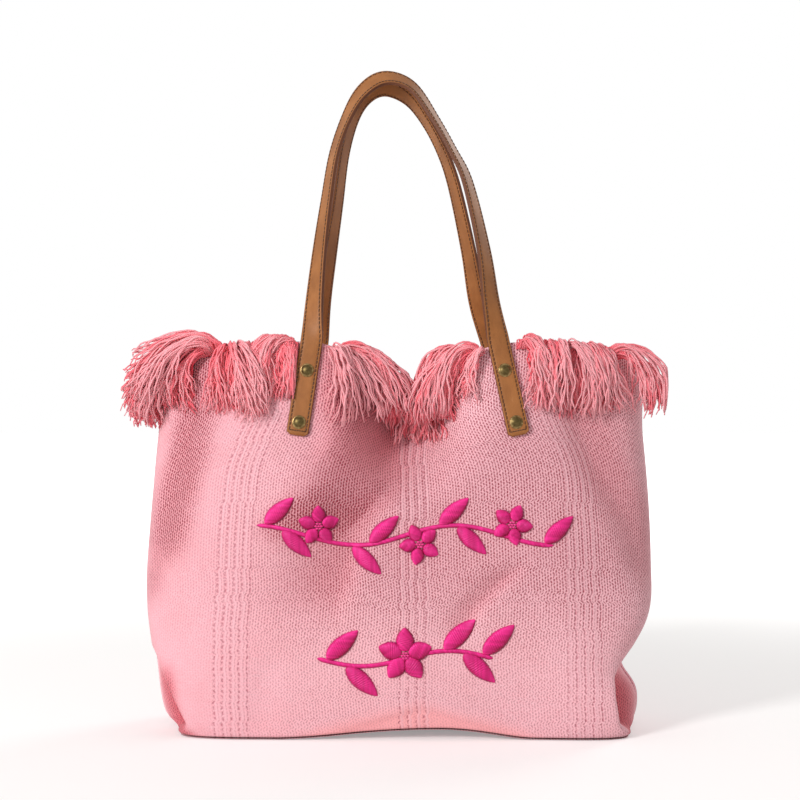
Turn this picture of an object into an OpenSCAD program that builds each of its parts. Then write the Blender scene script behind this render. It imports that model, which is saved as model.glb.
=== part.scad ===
// Fringed canvas beach tote with two riveted strap handles.
// Frame: +Z up, the front faces -Y, origin at the middle of the base on the ground. Millimetres.

/* [Bag body] */
// Width across the fullest part of the sides
bag_width = 474; // [430:1:520]
// Width of the base
base_width = 412; // [380:1:440]
// Width of the mouth from side seam to side seam
mouth_width = 446; // [410:1:480]
// Front-to-back depth of the base
base_depth = 150; // [130:1:170]
// Front-to-back depth of the mouth at the handles
mouth_depth = 120; // [104:1:140]
// Extra half depth where the filled bag bulges
belly = 9; // [0:0.5:16]
// Height of the rim at the handles
rim_height = 359; // [330:1:390]
// How far the rim sinks where the snap holds it shut
rim_dip = 38; // [20:1:50]
// How far the rim sinks at the side seams
rim_side_drop = 20; // [0:1:30]
// Height of the arch under the middle of the base
base_arch = 10; // [0:0.5:16]

/* [Cloth] */
// Thickness of the woven canvas
canvas_t = 2.5; // [2:0.1:3.2]
// Thickness of the lining cloth
lining_t = 0.8; // [0.5:0.1:1.2]
// Slack between the canvas and the lining
layer_gap = 0.9; // [0.8:0.05:1.2]
// How far the lining ends below the rim
lining_hem = 9; // [6:0.5:16]
// Width of each half of a side seam allowance
seam_reach = 2; // [1:1:3]

/* [Handles] */
// Width of a handle strap
strap_width = 20; // [16:0.5:24]
// Thickness of a handle strap, two layers of leather
strap_t = 3.6; // [3:0.1:4.4]
// Distance between the two ends of a handle at the bend
handle_spacing = 169; // [150:1:190]
// How far a handle rises above the bend
handle_rise = 248; // [200:1:300]
// Height of the bend above the rim
bend_above_rim = 3; // [2:0.5:8]
// Length of the strap end that is riveted on
strap_end_length = 88; // [78:1:100]
// Lean of the left-hand strap ends in degrees
left_lean = 8.5; // [4:0.5:12]
// Lean of the right-hand strap ends in degrees
right_lean = 12; // [4:0.5:14]
// Gap left between the two handles where they lean together
handle_gap = 4; // [3:0.5:10]

/* [Rivets] */
// Diameter of a rivet cap
rivet_cap_d = 12.5; // [10:0.1:14]
// Height of a rivet cap's dome
rivet_cap_h = 2.8; // [2.4:0.1:3.6]
// Diameter of a rivet's shank
rivet_shank_d = 3; // [2.6:0.1:3.6]
// Diameter of the inside cap
rivet_back_d = 10; // [8:0.1:12]
// Distance from the bend to the upper rivet
upper_rivet = 29; // [22:0.5:34]
// Distance between the two rivets of one strap end
rivet_pitch = 47; // [38:0.5:50]

/* [Snap] */
// Diameter of the magnetic snap
snap_d = 18; // [14:0.5:19]
// Thickness of the snap's socket half
snap_socket_t = 3.6; // [3.2:0.1:4.4]
// Thickness of the snap's stud half
snap_stud_t = 2.2; // [1.8:0.1:2.8]
// Distance from the rim down to the middle of the snap
snap_below_rim = 20; // [18:0.5:22]

/* [Fringe] */
// Length that the fringe hangs below the rim
fringe_length = 64; // [45:1:80]
// How far the fringe stands out from the canvas
fringe_out = 24; // [14:0.5:26]
// How far the fringe rises above the rim
fringe_rise = 9; // [5:0.5:14]
// Extra reach of the fringe beyond the side seams
fringe_side = 11; // [0:0.5:14]
// Width of one tuft
tuft_width = 13; // [10:0.5:20]

/* [Inside pocket] */
// Height of the zip's centre line above the ground
zip_height = 182; // [150:1:186]
// Length of the row of zip teeth
zip_length = 140; // [100:1:160]
// Width of the zip tape
zip_tape_width = 16; // [12:0.5:22]
// Distance from one zip tooth to the next
tooth_pitch = 2; // [1.6:0.1:3]
// Depth of the pocket below the zip
pocket_depth = 125; // [90:1:140]
// Width of the pocket
pocket_width = 176; // [170:1:200]

/* [Embroidery] */
// Height of the upper sprig's stem above the ground
upper_sprig_z = 184; // [170:1:195]
// Width of the upper sprig
upper_sprig_width = 268; // [240:1:290]
// Height of the lower sprig's stem above the ground
lower_sprig_z = 74; // [65:1:90]
// Width of the lower sprig
lower_sprig_width = 158; // [140:1:190]
// Height of the satin stitches above the canvas
stitch_height = 1.4; // [0.8:0.1:2]
// Length of a leaf on the upper sprig
upper_leaf = 35; // [26:0.5:40]
// Length of a leaf on the lower sprig
lower_leaf = 38; // [28:0.5:44]
// Reach of a petal from the middle of an upper blossom
upper_petal = 19; // [15:0.5:22]
// Reach of a petal from the middle of the lower blossom
lower_petal = 25; // [18:0.5:30]
// Width of a stem
stem_width = 4.4; // [3:0.1:6]

/* [Hidden] */

CANVAS = [0.93, 0.66, 0.70];
YARN = [0.90, 0.50, 0.55];
LINING = [0.93, 0.86, 0.80];
LEATHER = [0.68, 0.44, 0.25];
THREAD = [0.85, 0.12, 0.42];
BRASS = [0.55, 0.42, 0.22];
STEEL = [0.78, 0.77, 0.74];
TAPE = [0.86, 0.70, 0.70];

// Columns of the cloth grid: a straight core of even columns, then columns that turn round the end.
core_step = 11.5;
core_columns = 11;
end_columns = 6;
last_column = core_columns + end_columns;
core_half = core_step * core_columns;
// Rows of the cloth grid, closer together towards the rim.
wall_rows = 12;
row_crowding = 1.3;

// Corner shape of the bag's plan: the exponent of a superellipse, squarer at the base.
base_square = 6;
mouth_square = 2.2;

// The pinch that the snap makes in the mouth: a flat middle and a soft shoulder each side.
pinch_flat = core_step;
pinch_shoulder = 31;
pinch_from = 0.62;
pinch_full = 0.89;
dip_shoulder = 52;
arch_half = 110;

// The swell is fullest below half height, as cloth sags.
sag_power = 0.7;
fullest_t = pow(0.5, 1 / sag_power);
side_swell = bag_width / 2 - even_width(fullest_t);

fit_gap = 0.1;
strap_clear = 0.3;
bend_gap = 0.3;
snap_total = snap_socket_t + snap_stud_t + fit_gap;
layers_t = canvas_t + layer_gap + lining_t;
pinch_y = snap_total / 2 + fit_gap + layers_t;
bend_z = rim_height + bend_above_rim;
lining_top = 1 - lining_hem / rim_height;
lining_low = (layer_gap + lining_t + 0.3) / (rim_height - rim_dip - canvas_t);

function sum_power(a, n) = pow(max(0, 1 - pow(a, n)), 1 / n);
function smooth(a) = let (u = min(1, max(0, a))) u * u * (3 - 2 * u);
function unit(v) = v / norm(v);

// Half width, half depth and squareness of the plan at t, from 0 at the base to 1 at the rim.
// The cloth swells most at the height where swell() is 1.
function even_width(t) = (base_width + (mouth_width - base_width) * t) / 2;
function even_depth(t) = (base_depth + (mouth_depth - base_depth) * t) / 2;
function swell(t) = sin(180 * pow(min(max(t, 0), 1), sag_power));
function half_width(t) = even_width(t) + side_swell * swell(t);
function half_depth(t) = even_depth(t) + belly * swell(t);
function squareness(t) = base_square + (mouth_square - base_square) * pow(max(t, 0), sag_power);

function arch_z(x) = abs(x) < arch_half ? base_arch * pow(1 - pow(x / arch_half, 2), 2) : 0;
function floor_z(x) = arch_z(x) + canvas_t;
function rim_z(x) =
    rim_height - rim_dip * exp(-pow(x / dip_shoulder, 2))
    - rim_side_drop * pow(abs(x) / (mouth_width / 2), 4);
function z_at(x, t) = floor_z(x) + t * (rim_z(x) - floor_z(x));
function t_at(x, z) = (z - floor_z(x)) / (rim_z(x) - floor_z(x));

function pinch_share(x) = exp(-pow(max(0, abs(x) - pinch_flat) / pinch_shoulder, 2));
function pinch_rise(t) = smooth((t - pinch_from) / (pinch_full - pinch_from));

// Distance of the cloth from the mid-plane at x and t, for a face that lies "inset" inside the canvas.
function cloth_y(x, t, inset) =
    let (a = half_width(t) - inset)
    (half_depth(t) - inset) * sum_power(min(abs(x) / a, 1), squareness(t))
    - (half_depth(t) - pinch_y) * pinch_rise(t) * pinch_share(x);

// Plan position of grid column k, which may be a fraction.
function column_x(k, t, inset) =
    abs(k) <= core_columns
    ? k * core_step
    : sign(k) * (core_half + (half_width(t) - inset - core_half)
        * sin(90 * (abs(k) - core_columns) / end_columns));

// Grid column, with its fraction, that lies at x on the rim.
function column_at(x) =
    abs(x) <= core_half
    ? x / core_step
    : sign(x) * (core_columns + end_columns / 90
        * asin(min(1, (abs(x) - core_half) / (half_width(1) - core_half))));

// The cloth is a grid of flat facets: its corners, and the facet point at any column and t.
// side is -1 at the front and 1 at the back.
function row_t(j) = 1 - pow(1 - j / wall_rows, row_crowding);
function row_at(t) = wall_rows * (1 - pow(max(0, 1 - t), 1 / row_crowding));
function corner_point(k, j, side, inset) =
    let (t = row_t(j), x = column_x(k, t, inset))
    [x, side * cloth_y(x, t, inset), z_at(x, t)];
function row_point(k, j, side, inset) =
    let (i = min(last_column - 1, floor(k)))
    (i + 1 - k) * corner_point(i, j, side, inset) + (k - i) * corner_point(i + 1, j, side, inset);
function cloth_point(k, side, t, inset) =
    let (j = min(wall_rows - 1, floor(row_at(t) + 0.001)),
         v = (t - row_t(j)) / (row_t(j + 1) - row_t(j)))
    (1 - v) * row_point(k, j, side, inset) + v * row_point(k, j + 1, side, inset);

// Heights of the grid's rows between t0 and t1, with those two at the ends.
function rows_between(t0, t1) = concat(
    [t0], [for (j = [1 : wall_rows - 1]) if (row_t(j) > t0 + 0.005 && row_t(j) < t1 - 0.005) row_t(j)], [t1]
);

// A closed slab between two grids of points with the same rows and columns.
// Seen from the outer grid's side, rows run up and columns run to the right.
module slab(outer, inner) {
    rows = len(outer);
    cols = len(outer[0]);
    count = rows * cols;
    at = function (j, i) j * cols + i;
    skin = [
        for (j = [0 : rows - 2], i = [0 : cols - 2])
            each [
                [at(j, i), at(j + 1, i), at(j + 1, i + 1)],
                [at(j, i), at(j + 1, i + 1), at(j, i + 1)]
            ]
    ];
    back = [for (f = skin) [f[2] + count, f[1] + count, f[0] + count]];
    edge = concat(
        [for (i = [0 : cols - 2]) [at(0, i), at(0, i + 1)]],
        [for (j = [0 : rows - 2]) [at(j, cols - 1), at(j + 1, cols - 1)]],
        [for (i = [cols - 1 : -1 : 1]) [at(rows - 1, i), at(rows - 1, i - 1)]],
        [for (j = [rows - 1 : -1 : 1]) [at(j, 0), at(j - 1, 0)]]
    );
    rim = [
        for (e = edge)
            each [[e[0], e[1], e[1] + count], [e[0], e[1] + count, e[0] + count]]
    ];
    polyhedron(points = concat([for (r = outer) each r], [for (r = inner) each r]),
        faces = concat(skin, back, rim));
}

// ---- Canvas and lining ----

// One front wall of cloth between two insets, from t0 up to t1.
module front_wall(inset_out, inset_in, t0, t1) {
    grid = function (inset) [
        for (t = rows_between(t0, t1))
            [for (k = [-last_column : last_column]) cloth_point(k, -1, t, inset)]
    ];
    slab(grid(inset_out), grid(inset_in));
}

// Outline of the plan at the base, inside the canvas by inset.
function base_outline(inset) = concat(
    [for (k = [-last_column : last_column]) let (p = cloth_point(k, -1, 0, inset)) [p[0], p[1]]],
    [for (k = [last_column - 1 : -1 : 1 - last_column]) let (p = cloth_point(k, 1, 0, inset)) [p[0], p[1]]]
);

// A sheet of thickness t that follows the arch under the bag, its lower face raised by lift.
module arched_floor(inset, lift, t) {
    xs = [for (k = [-core_columns : core_columns]) k * core_step];
    reach = base_width;
    band = concat(
        [[-reach, lift]], [for (x = xs) [x, arch_z(x) + lift]], [[reach, lift]],
        [[reach, lift + t]],
        [for (i = [len(xs) - 1 : -1 : 0]) [xs[i], arch_z(xs[i]) + lift + t]],
        [[-reach, lift + t]]
    );
    intersection() {
        linear_extrude(height = base_arch + lift + t + 1)
            polygon(base_outline(inset));
        translate([0, base_depth, 0])
            rotate([90, 0, 0])
                linear_extrude(height = 2 * base_depth)
                    polygon(band);
    }
}

module front_canvas() {
    difference() {
        front_wall(0, canvas_t, 0, 1);
        rivet_holes();
    }
}

module front_lining_cloth() {
    difference() {
        front_wall(canvas_t + layer_gap, layers_t, lining_low, lining_top);
        rivet_holes();
        snap_hole();
    }
}

// The folded seam allowance inside a side seam, a half on each face of the seam.
// side is -1 at the left and 1 at the right.
module side_seam(side) {
    ks = [for (m = [0 : seam_reach]) side < 0 ? m - last_column : last_column - seam_reach + m];
    grid = function (inset) [
        for (t = rows_between(lining_low, lining_top))
            [for (k = ks) cloth_point(k, -1, t, inset)]
    ];
    union() {
        slab(grid(canvas_t + fit_gap), grid(canvas_t + layer_gap - fit_gap));
        to_back()
            slab(grid(canvas_t + fit_gap), grid(canvas_t + layer_gap - fit_gap));
    }
}

// ---- Strap ends and rivets ----

function lean(side) = side < 0 ? left_lean : right_lean;

// Centre line of a front strap end: x at a distance s below the bend. side is -1 left, 1 right.
function end_x(side, s) = side * (handle_spacing / 2 + s * tan(lean(side)));
function front_y(x, z, proud) = -cloth_y(x, t_at(x, z), 0) - proud;

// Where a rivet's axis crosses the canvas, and the canvas's outward normal there.
function rivet_point(side, s) = let (x = end_x(side, s), z = bend_z - s) [x, front_y(x, z, 0), z];
function rivet_normal(p) =
    let (d = 2,
         fx = (front_y(p[0] + d, p[2], 0) - front_y(p[0] - d, p[2], 0)) / (2 * d),
         fz = (front_y(p[0], p[2] + d, 0) - front_y(p[0], p[2] - d, 0)) / (2 * d))
    unit([fx, -1, fz]);

rivet_places = [upper_rivet, upper_rivet + rivet_pitch];
shank_hole_r = rivet_shank_d / 2 + fit_gap;

// Puts its children on a rivet's axis, +Z outwards, at the canvas's outer face.
module at_rivet(side, s) {
    p = rivet_point(side, s);
    n = rivet_normal(p);
    translate(p)
        rotate([0, acos(n[2]), atan2(n[1], n[0])])
            children();
}

module rivet_holes() {
    for (side = [-1, 1], s = rivet_places)
        at_rivet(side, s)
            cylinder(r = shank_hole_r, h = 6 * layers_t, center = true, $fn = 32);
}

// One layer of the riveted end of a front strap: a strip on the canvas with rounded lower
// corners, between two heights above the canvas.
module strap_end_layer(side, low, high) {
    corner = 3;
    half = strap_width / 2;
    stops = concat([bend_gap / 2, 10, 20, 30, 40, 50, 60, 70], [
        for (a = [0 : 22.5 : 90]) strap_end_length - corner + corner * sin(a)
    ]);
    half_at = function (s)
        let (over = max(0, s - (strap_end_length - corner)))
        half - corner + sqrt(max(0, corner * corner - over * over)) + 0.01;
    grid = function (proud) [
        for (j = [len(stops) - 1 : -1 : 0])
            [for (u = [-1, -0.5, 0, 0.5, 1])
                let (s = stops[j],
                     x = end_x(side, s) + u * half_at(s) / cos(lean(side)),
                     z = bend_z - s)
                [x, front_y(x, z, proud), z]]
    ];
    difference() {
        slab(grid(high), grid(low));
        rivet_holes();
    }
}

module strap_end(side, layer) {
    split = strap_t / 2;
    if (layer == "outer")
        strap_end_layer(side, strap_clear + split + fit_gap / 2, strap_clear + strap_t);
    else
        strap_end_layer(side, strap_clear, strap_clear + split - fit_gap / 2);
}

// Heights along a rivet's axis, from the canvas's outer face.
cap_seat = strap_clear + strap_t + 0.15;
back_seat = -layers_t - 0.25;

module rivet_cap() {
    r = rivet_cap_d / 2;
    wall = 0.8;
    translate([0, 0, cap_seat])
        difference() {
            rotate_extrude($fn = 48)
                polygon(concat(
                    [[0, 0], [r - 0.4, 0], [r, 0.4], [r, 1.0], [r - 0.5, 1.3]],
                    [for (a = [20 : 14 : 90])
                        [(r - 1) * cos(a), 1.2 + (rivet_cap_h - 1.2) * sin(a)]],
                    [[0, rivet_cap_h]]
                ));
            translate([0, 0, -1])
                cylinder(r = shank_hole_r, h = 1 + rivet_cap_h - wall, $fn = 32);
        }
}

module rivet_post() {
    r = rivet_back_d / 2;
    top = cap_seat + rivet_cap_h - 1.0;
    union() {
        translate([0, 0, back_seat])
            cylinder(r = rivet_shank_d / 2, h = top - back_seat, $fn = 32);
        translate([0, 0, back_seat])
            rotate_extrude($fn = 48)
                polygon([[0, 0], [r, 0], [r, -0.5], [r * 0.8, -1.0], [r * 0.4, -1.25], [0, -1.3]]);
    }
}

module rivet_caps(side) {
    for (s = rivet_places)
        at_rivet(side, s)
            rivet_cap();
}

module rivet_posts(side) {
    for (s = rivet_places)
        at_rivet(side, s)
            rivet_post();
}

// ---- Handles ----

// Centre line of each handle loop as shares of half the spacing and of the rise.
front_loop_shape = [
    [-1.00, 0], [-0.98, 0.14], [-0.93, 0.33], [-0.86, 0.52], [-0.77, 0.71], [-0.60, 0.87],
    [-0.43, 0.955], [-0.21, 0.995], [0.08, 0.960], [0.34, 0.83], [0.53, 0.71], [0.69, 0.59],
    [0.86, 0.33], [0.93, 0.14], [1.00, 0]
];
back_loop_shape = [
    [-1.00, 0], [-0.95, 0.16], [-0.86, 0.35], [-0.77, 0.54], [-0.69, 0.73], [-0.57, 0.875],
    [-0.42, 0.950], [-0.22, 0.975], [0.02, 0.940], [0.20, 0.87], [0.39, 0.76], [0.55, 0.62],
    [0.73, 0.36], [0.84, 0.16], [1.00, 0]
];
loop_steps = 4;

function catmull(p, q, r, s, u) =
    0.5 * ((2 * q) + (r - p) * u + (2 * p - 5 * q + 4 * r - s) * u * u
        + (3 * q - p - 3 * r + s) * u * u * u);

// The face of a strap starts square to the canvas, turns outwards along the leg and
// turns partly back over the top.
function loop_turn(f) = 78 * pow(sin(180 * f), 0.45) - 34 * exp(-pow((f - 0.47) / 0.13, 2));

// Centre points of a loop, leaning from the bend towards the middle of the bag.
function loop_points(shape) =
    let (n = len(shape) - 1,
         y0 = front_y(handle_spacing / 2, bend_z, strap_clear + strap_t / 2),
         y1 = -(handle_gap + strap_width * 0.72) / 2)
    [for (i = [0 : n * loop_steps])
        let (k = min(n - 1, floor(i / loop_steps)),
             u = i / loop_steps - k,
             q = shape[k],
             r = shape[k + 1],
             p = k > 0 ? shape[k - 1] : 2 * q - r,
             s = k < n - 1 ? shape[k + 2] : 2 * r - q,
             c = catmull(p, q, r, s, u))
        [c[0] * handle_spacing / 2,
         y0 + (y1 - y0) * pow(max(0, c[1]), 0.9),
         bend_z + bend_gap / 2 + c[1] * handle_rise]];

// One layer of a loop, between two depths behind the strap's outer face.
module loop_layer(shape, depth_out, depth_in) {
    pts = loop_points(shape);
    last = len(pts) - 1;
    half = strap_width / 2;
    frames = [
        for (i = [0 : last])
            let (tangent = unit(pts[min(last, i + 1)] - pts[max(0, i - 1)]),
                 out = unit(cross([0, -1, 0], tangent)),
                 face = cross(tangent, out),
                 turn = loop_turn(i / last),
                 ends = i == 0 || i == last,
                 normal = ends ? [0, -1, 0] : cos(turn) * face + sin(turn) * out,
                 wide = ends ? [sign(tangent[2]) / abs(tangent[2]), 0, 0] : cross(tangent, normal))
            [pts[i], normal, wide * half]
    ];
    grid = function (depth) [
        for (f = frames)
            [for (u = [-1, 0, 1]) f[0] + f[1] * (strap_t / 2 - depth) + u * f[2]]
    ];
    slab(grid(depth_out), grid(depth_in));
}

module handle_layer(shape, layer) {
    split = strap_t / 2;
    if (layer == "outer")
        loop_layer(shape, 0, split - fit_gap / 2);
    else
        loop_layer(shape, split + fit_gap / 2, strap_t);
}

// ---- Fringe ----

// One stretch of fringe between two grid columns: a pleated skirt that rises over the rim and
// hangs outside. Its outer and inner skins are rows of [drop below the rim, stand off the canvas],
// as shares of the length or the rise, and of the stand.
module fringe(k0, k1) {
    reach = abs(column_x(k1, 1, 0) - column_x(k0, 1, 0));
    steps = 4 * max(3, round(reach / tuft_width));
    ks = [for (i = [0 : steps]) k0 + (k1 - k0) * i / steps];
    skin = function (shares, foot) [
        for (r = shares)
            [for (i = [0 : steps])
                let (wave = 0.5 + 0.5 * cos(360 * i / 4),
                     rim = cloth_point(ks[i], -1, 1, 0),
                     edge = pow(abs(rim[0]) / (mouth_width / 2), 5),
                     out = unit([sign(rim[0]) * edge, edge * 0.65 - 1, 0]),
                     drop = r[0] * (r[0] < 0 ? fringe_rise * (0.8 + 0.2 * wave)
                         : fringe_length * (0.88 + 0.12 * wave)),
                     proud = r[1] * (fringe_out * (0.82 + 0.18 * wave) + fringe_side * edge),
                     hang = cloth_point(ks[i], -1, 1 - max(0, drop) / (rim[2] - floor_z(rim[0])), 0))
                [hang[0], hang[1], rim[2] - drop] + out * proud],
        [for (k = ks) cloth_point(k, -1, 1, 0.6 * canvas_t) + [0, 0, foot]]
    ];
    slab(
        skin([[1, 0.7], [0.3, 1], [-0.7, 0.8], [-1, 0.35]], 0.4 * fringe_rise),
        skin([[0.95, 0.3], [0.3, 0.25], [0.05, 0.16], [-0.03, 0.06]], fit_gap)
    );
}

// Grid columns where the fringe leaves room for the straps.
fringe_gap = 11;
middle_end = column_at(handle_spacing / 2 - strap_width / 2 - fringe_gap);
function side_start(side) =
    column_at(abs(end_x(side, fringe_length)) + strap_width / 2 + fringe_gap);
side_end = last_column - 0.25;

// ---- Embroidery ----

// One satin-stitched petal or leaf on the front: foot and tip in the x-z plane, and its half width.
module petal(foot, tip, half) {
    along = tip - foot;
    across = [-along[1], along[0]] / norm(along);
    stops = [0.02, 0.2, 0.45, 0.7, 0.88, 0.98];
    grid = function (proud) [
        for (u = [-1, 0, 1])
            [for (f = stops)
                let (w = half * pow(sin(180 * pow(f, 0.8)), 0.7),
                     dome = 1 - abs(u) * 0.7,
                     p = foot + along * f + across * w * u)
                [p[0], front_y(p[0], p[1], fit_gap + proud * dome), p[1]]]
    ];
    slab(grid(stitch_height), grid(0));
}

// The wavy stem of a sprig between two x, as a thin raised ribbon.
module stem(x0, x1, z, wave, waves) {
    steps = round((x1 - x0) / 8);
    half = stem_width / 2;
    grid = function (proud) [
        for (u = [-1, 1])
            [for (i = [0 : steps])
                let (f = i / steps, x = x0 + (x1 - x0) * f,
                     h = stem_z(f, z, wave, waves) + u * half)
                [x, front_y(x, h, fit_gap + proud), h]]
    ];
    slab(grid(stitch_height * 0.6), grid(0));
}

function stem_z(f, z, wave, waves) = z + wave * sin(360 * waves * f);

// Five petals round a centre.
module blossom(centre, reach, turn) {
    for (i = [0 : 4]) {
        a = turn + 72 * i;
        dir = [cos(a), sin(a)];
        petal(centre + dir * petal_foot, centre + dir * reach, reach * petal_share);
    }
}

// Pairs of slanting leaves along a stem, left clear where the blossoms sit.
module leaves(x0, x1, z, wave, waves, count, size, clear) {
    for (i = [0 : count - 1]) {
        f = (i + 0.5) / count;
        x = x0 + (x1 - x0) * f;
        up = i % 2 == 0 ? 1 : -1;
        foot = [x, stem_z(f, z, wave, waves) + up * stem_width * 0.4];
        if (min([for (c = clear) abs(x - c)]) > blossom_clear)
            petal(foot, foot + size * [0.74, up * 0.68], size * leaf_share);
    }
}

// Places of the blossoms, as shares of the sprig's width from its middle.
upper_blossoms = [-0.29, 0.05, 0.36];
blossom_offset = 12;
lower_blossom_offset = 3;
blossom_clear = 24;
upper_wave = 9;
lower_wave = 7;
upper_waves = 1.5;
lower_waves = 1;
// Half width of a leaf or petal as a share of its length, and a petal's foot from the middle.
leaf_share = 0.21;
petal_share = 0.335;
petal_foot = 4;

module upper_sprig() {
    half = upper_sprig_width / 2;
    stem(-half, half, upper_sprig_z, upper_wave, upper_waves);
    leaves(-half, half, upper_sprig_z, upper_wave, upper_waves, 17, upper_leaf,
        [for (b = upper_blossoms) b * upper_sprig_width]);
    for (i = [0 : len(upper_blossoms) - 1]) {
        b = upper_blossoms[i];
        up = i % 2 == 0 ? 1 : -1;
        z = stem_z(b + 0.5, upper_sprig_z, upper_wave, upper_waves) + up * blossom_offset;
        blossom([b * upper_sprig_width, z], upper_petal, 90 + 24 * i);
    }
}

module lower_sprig() {
    half = lower_sprig_width / 2;
    stem(-half, half, lower_sprig_z, lower_wave, lower_waves);
    leaves(-half, half, lower_sprig_z, lower_wave, lower_waves, 9, lower_leaf, [0]);
    blossom([0, lower_sprig_z + lower_blossom_offset], lower_petal, 90);
}

// ---- Magnetic snap, at the middle of the mouth ----

snap_z = rim_z(0) - snap_below_rim;
snap_post_r = 1.2;
snap_nub_r = 3;

module snap_hole() {
    translate([0, 0, snap_z])
        rotate([90, 0, 0])
            cylinder(r = snap_post_r + fit_gap, h = 4 * pinch_y, center = true, $fn = 24);
}

// Puts its children on the snap's axis, with +Z towards the back and z = 0 at the front lining.
module at_snap() {
    translate([0, -snap_total / 2, snap_z])
        rotate([-90, 0, 0])
            children();
}

module stud_half() {
    union() {
        cylinder(d = snap_d, h = snap_stud_t, $fn = 64);
        cylinder(r = snap_nub_r, h = snap_stud_t + 1.9, $fn = 32);
        translate([0, 0, -lining_t - layer_gap])
            cylinder(r = snap_post_r, h = lining_t + layer_gap + 1, $fn = 24);
    }
}

module socket_half() {
    translate([0, 0, snap_stud_t + fit_gap])
        difference() {
            union() {
                cylinder(d = snap_d - 0.6, h = 0.6, $fn = 64);
                translate([0, 0, 0.6])
                    cylinder(d = snap_d, h = snap_socket_t - 0.6, $fn = 64);
                translate([0, 0, 1])
                    cylinder(r = snap_post_r, h = snap_socket_t - 1 + lining_t + layer_gap, $fn = 24);
            }
            translate([0, 0, -1])
                cylinder(r = snap_nub_r + fit_gap, h = 3.2, $fn = 32);
        }
}

// A backing washer between canvas and lining. side is -1 at the front and 1 at the back.
module snap_washer(side) {
    t = layer_gap - 2 * fit_gap;
    y = pinch_y - canvas_t - fit_gap - t;
    translate([0, side * (y + t / 2), snap_z])
        rotate([90, 0, 0])
            difference() {
                cylinder(d = snap_d - 2, h = t, center = true, $fn = 64);
                cylinder(r = snap_post_r + fit_gap / 2, h = 3 * t, center = true, $fn = 24);
            }
}

// ---- Inside pocket with its zip, on the back lining ----

function back_inside_y(x, z, proud) = cloth_y(x, t_at(x, z), layers_t) - proud;

// A thin rectangle of cloth on the back lining between two distances from it.
module inside_patch(x0, x1, z0, z1, near, far, cols, rows) {
    grid = function (proud) [
        for (j = [0 : rows])
            [for (i = [0 : cols])
                let (x = x0 + (x1 - x0) * i / cols, z = z0 + (z1 - z0) * j / rows)
                [x, back_inside_y(x, z, proud), z]]
    ];
    slab(grid(far), grid(near));
}

patch_clear = 0.2;
tape_t = 0.5;
tape_near = 2 * patch_clear + lining_t;
tape_bottom = zip_height - zip_tape_width / 2;
patch_top = tape_bottom + 5;

module pocket_cloth() {
    inside_patch(-pocket_width / 2, pocket_width / 2, patch_top - pocket_depth, patch_top,
        patch_clear, patch_clear + lining_t, 16, 6);
}

// The tape is sewn flat along its length, just clear of the lining where that is nearest.
tape_half = zip_length / 2 + 10;
function tape_y(z) = min([for (i = [0 : 8]) back_inside_y(tape_half * i / 8, z, tape_near)]);

module tape_cloth() {
    grid = function (proud) [
        for (z = [tape_bottom, zip_height, tape_bottom + zip_tape_width])
            [for (x = [-tape_half, tape_half]) [x, tape_y(z) - proud, z]]
    ];
    slab(grid(tape_t), grid(0));
}

// The teeth stand just proud of the tape.
teeth_y = tape_y(tape_bottom + zip_tape_width) - tape_t - fit_gap;
tooth_t = 1.4;
tooth_h = 4;

module teeth() {
    count = floor(zip_length / tooth_pitch);
    for (i = [0 : count - 1])
        translate([(i + 0.5 - count / 2) * tooth_pitch, teeth_y - tooth_t / 2, zip_height + i % 2 - 0.5])
            cube([tooth_pitch * 0.7, tooth_t, tooth_h], center = true);
}

module stops() {
    for (side = [-1, 1])
        translate([side * (zip_length / 2 + 2), teeth_y - tooth_t / 2, zip_height])
            cube([2, tooth_t, tooth_h + 2], center = true);
}

slider_length = 9;
slider_width = 8;
slider_x = -zip_length / 2 + slider_length / 2 + 1;
plate_t = 1;
slider_clear = 0.2;
slider_face_y = teeth_y - tooth_t - slider_clear - plate_t;
bridge_r = 0.8;
bridge_out = 3;

module slider() {
    translate([slider_x, 0, zip_height]) {
        translate([-slider_length / 2, slider_face_y, -slider_width / 2])
            cube([slider_length, plate_t, slider_width]);
        for (side = [-1, 1])
            translate([-slider_length / 2, slider_face_y, side * (slider_width / 2 - 0.5) - 0.5])
                cube([slider_length, plate_t + tooth_t + slider_clear, 1]);
        translate([0, slider_face_y + 0.4, 0])
            rotate([90, 0, 0])
                cylinder(r = bridge_r, h = bridge_out + 0.4, $fn = 32);
        translate([0, slider_face_y - bridge_out, 0])
            rotate([90, 0, 0])
                cylinder(r = 1.8, h = 0.8, $fn = 32);
    }
}

pull_length = 26;
pull_width = 6;
pull_t = 1.4;

module pull() {
    translate([slider_x, slider_face_y - 1.4, zip_height])
        rotate([90, 0, 0])
            difference() {
                union() {
                    cylinder(d = pull_width, h = pull_t, center = true, $fn = 48);
                    translate([-pull_width / 2, -pull_length, -pull_t / 2])
                        cube([pull_width, pull_length, pull_t]);
                    translate([0, -pull_length, 0])
                        cylinder(d = pull_width, h = pull_t, center = true, $fn = 48);
                }
                cylinder(r = bridge_r + 0.08, h = 3 * pull_t, center = true, $fn = 32);
                translate([0, -pull_length, 0])
                    cylinder(r = 1.5, h = 3 * pull_t, center = true, $fn = 32);
            }
}

// ---- Nodes ----

module to_back() {
    mirror([0, 1, 0])
        children();
}

color(CANVAS) front_canvas();  // front_panel
color(CANVAS) to_back() front_canvas();  // back_panel
color(CANVAS) arched_floor(0, 0, canvas_t);  // base_panel
color(LINING) front_lining_cloth();  // front_lining
color(LINING) to_back() front_lining_cloth();  // back_lining
color(LINING) arched_floor(canvas_t + layer_gap, canvas_t + layer_gap, lining_t);  // base_lining
color(CANVAS) side_seam(-1);  // left_side_seam
color(CANVAS) side_seam(1);  // right_side_seam

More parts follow.
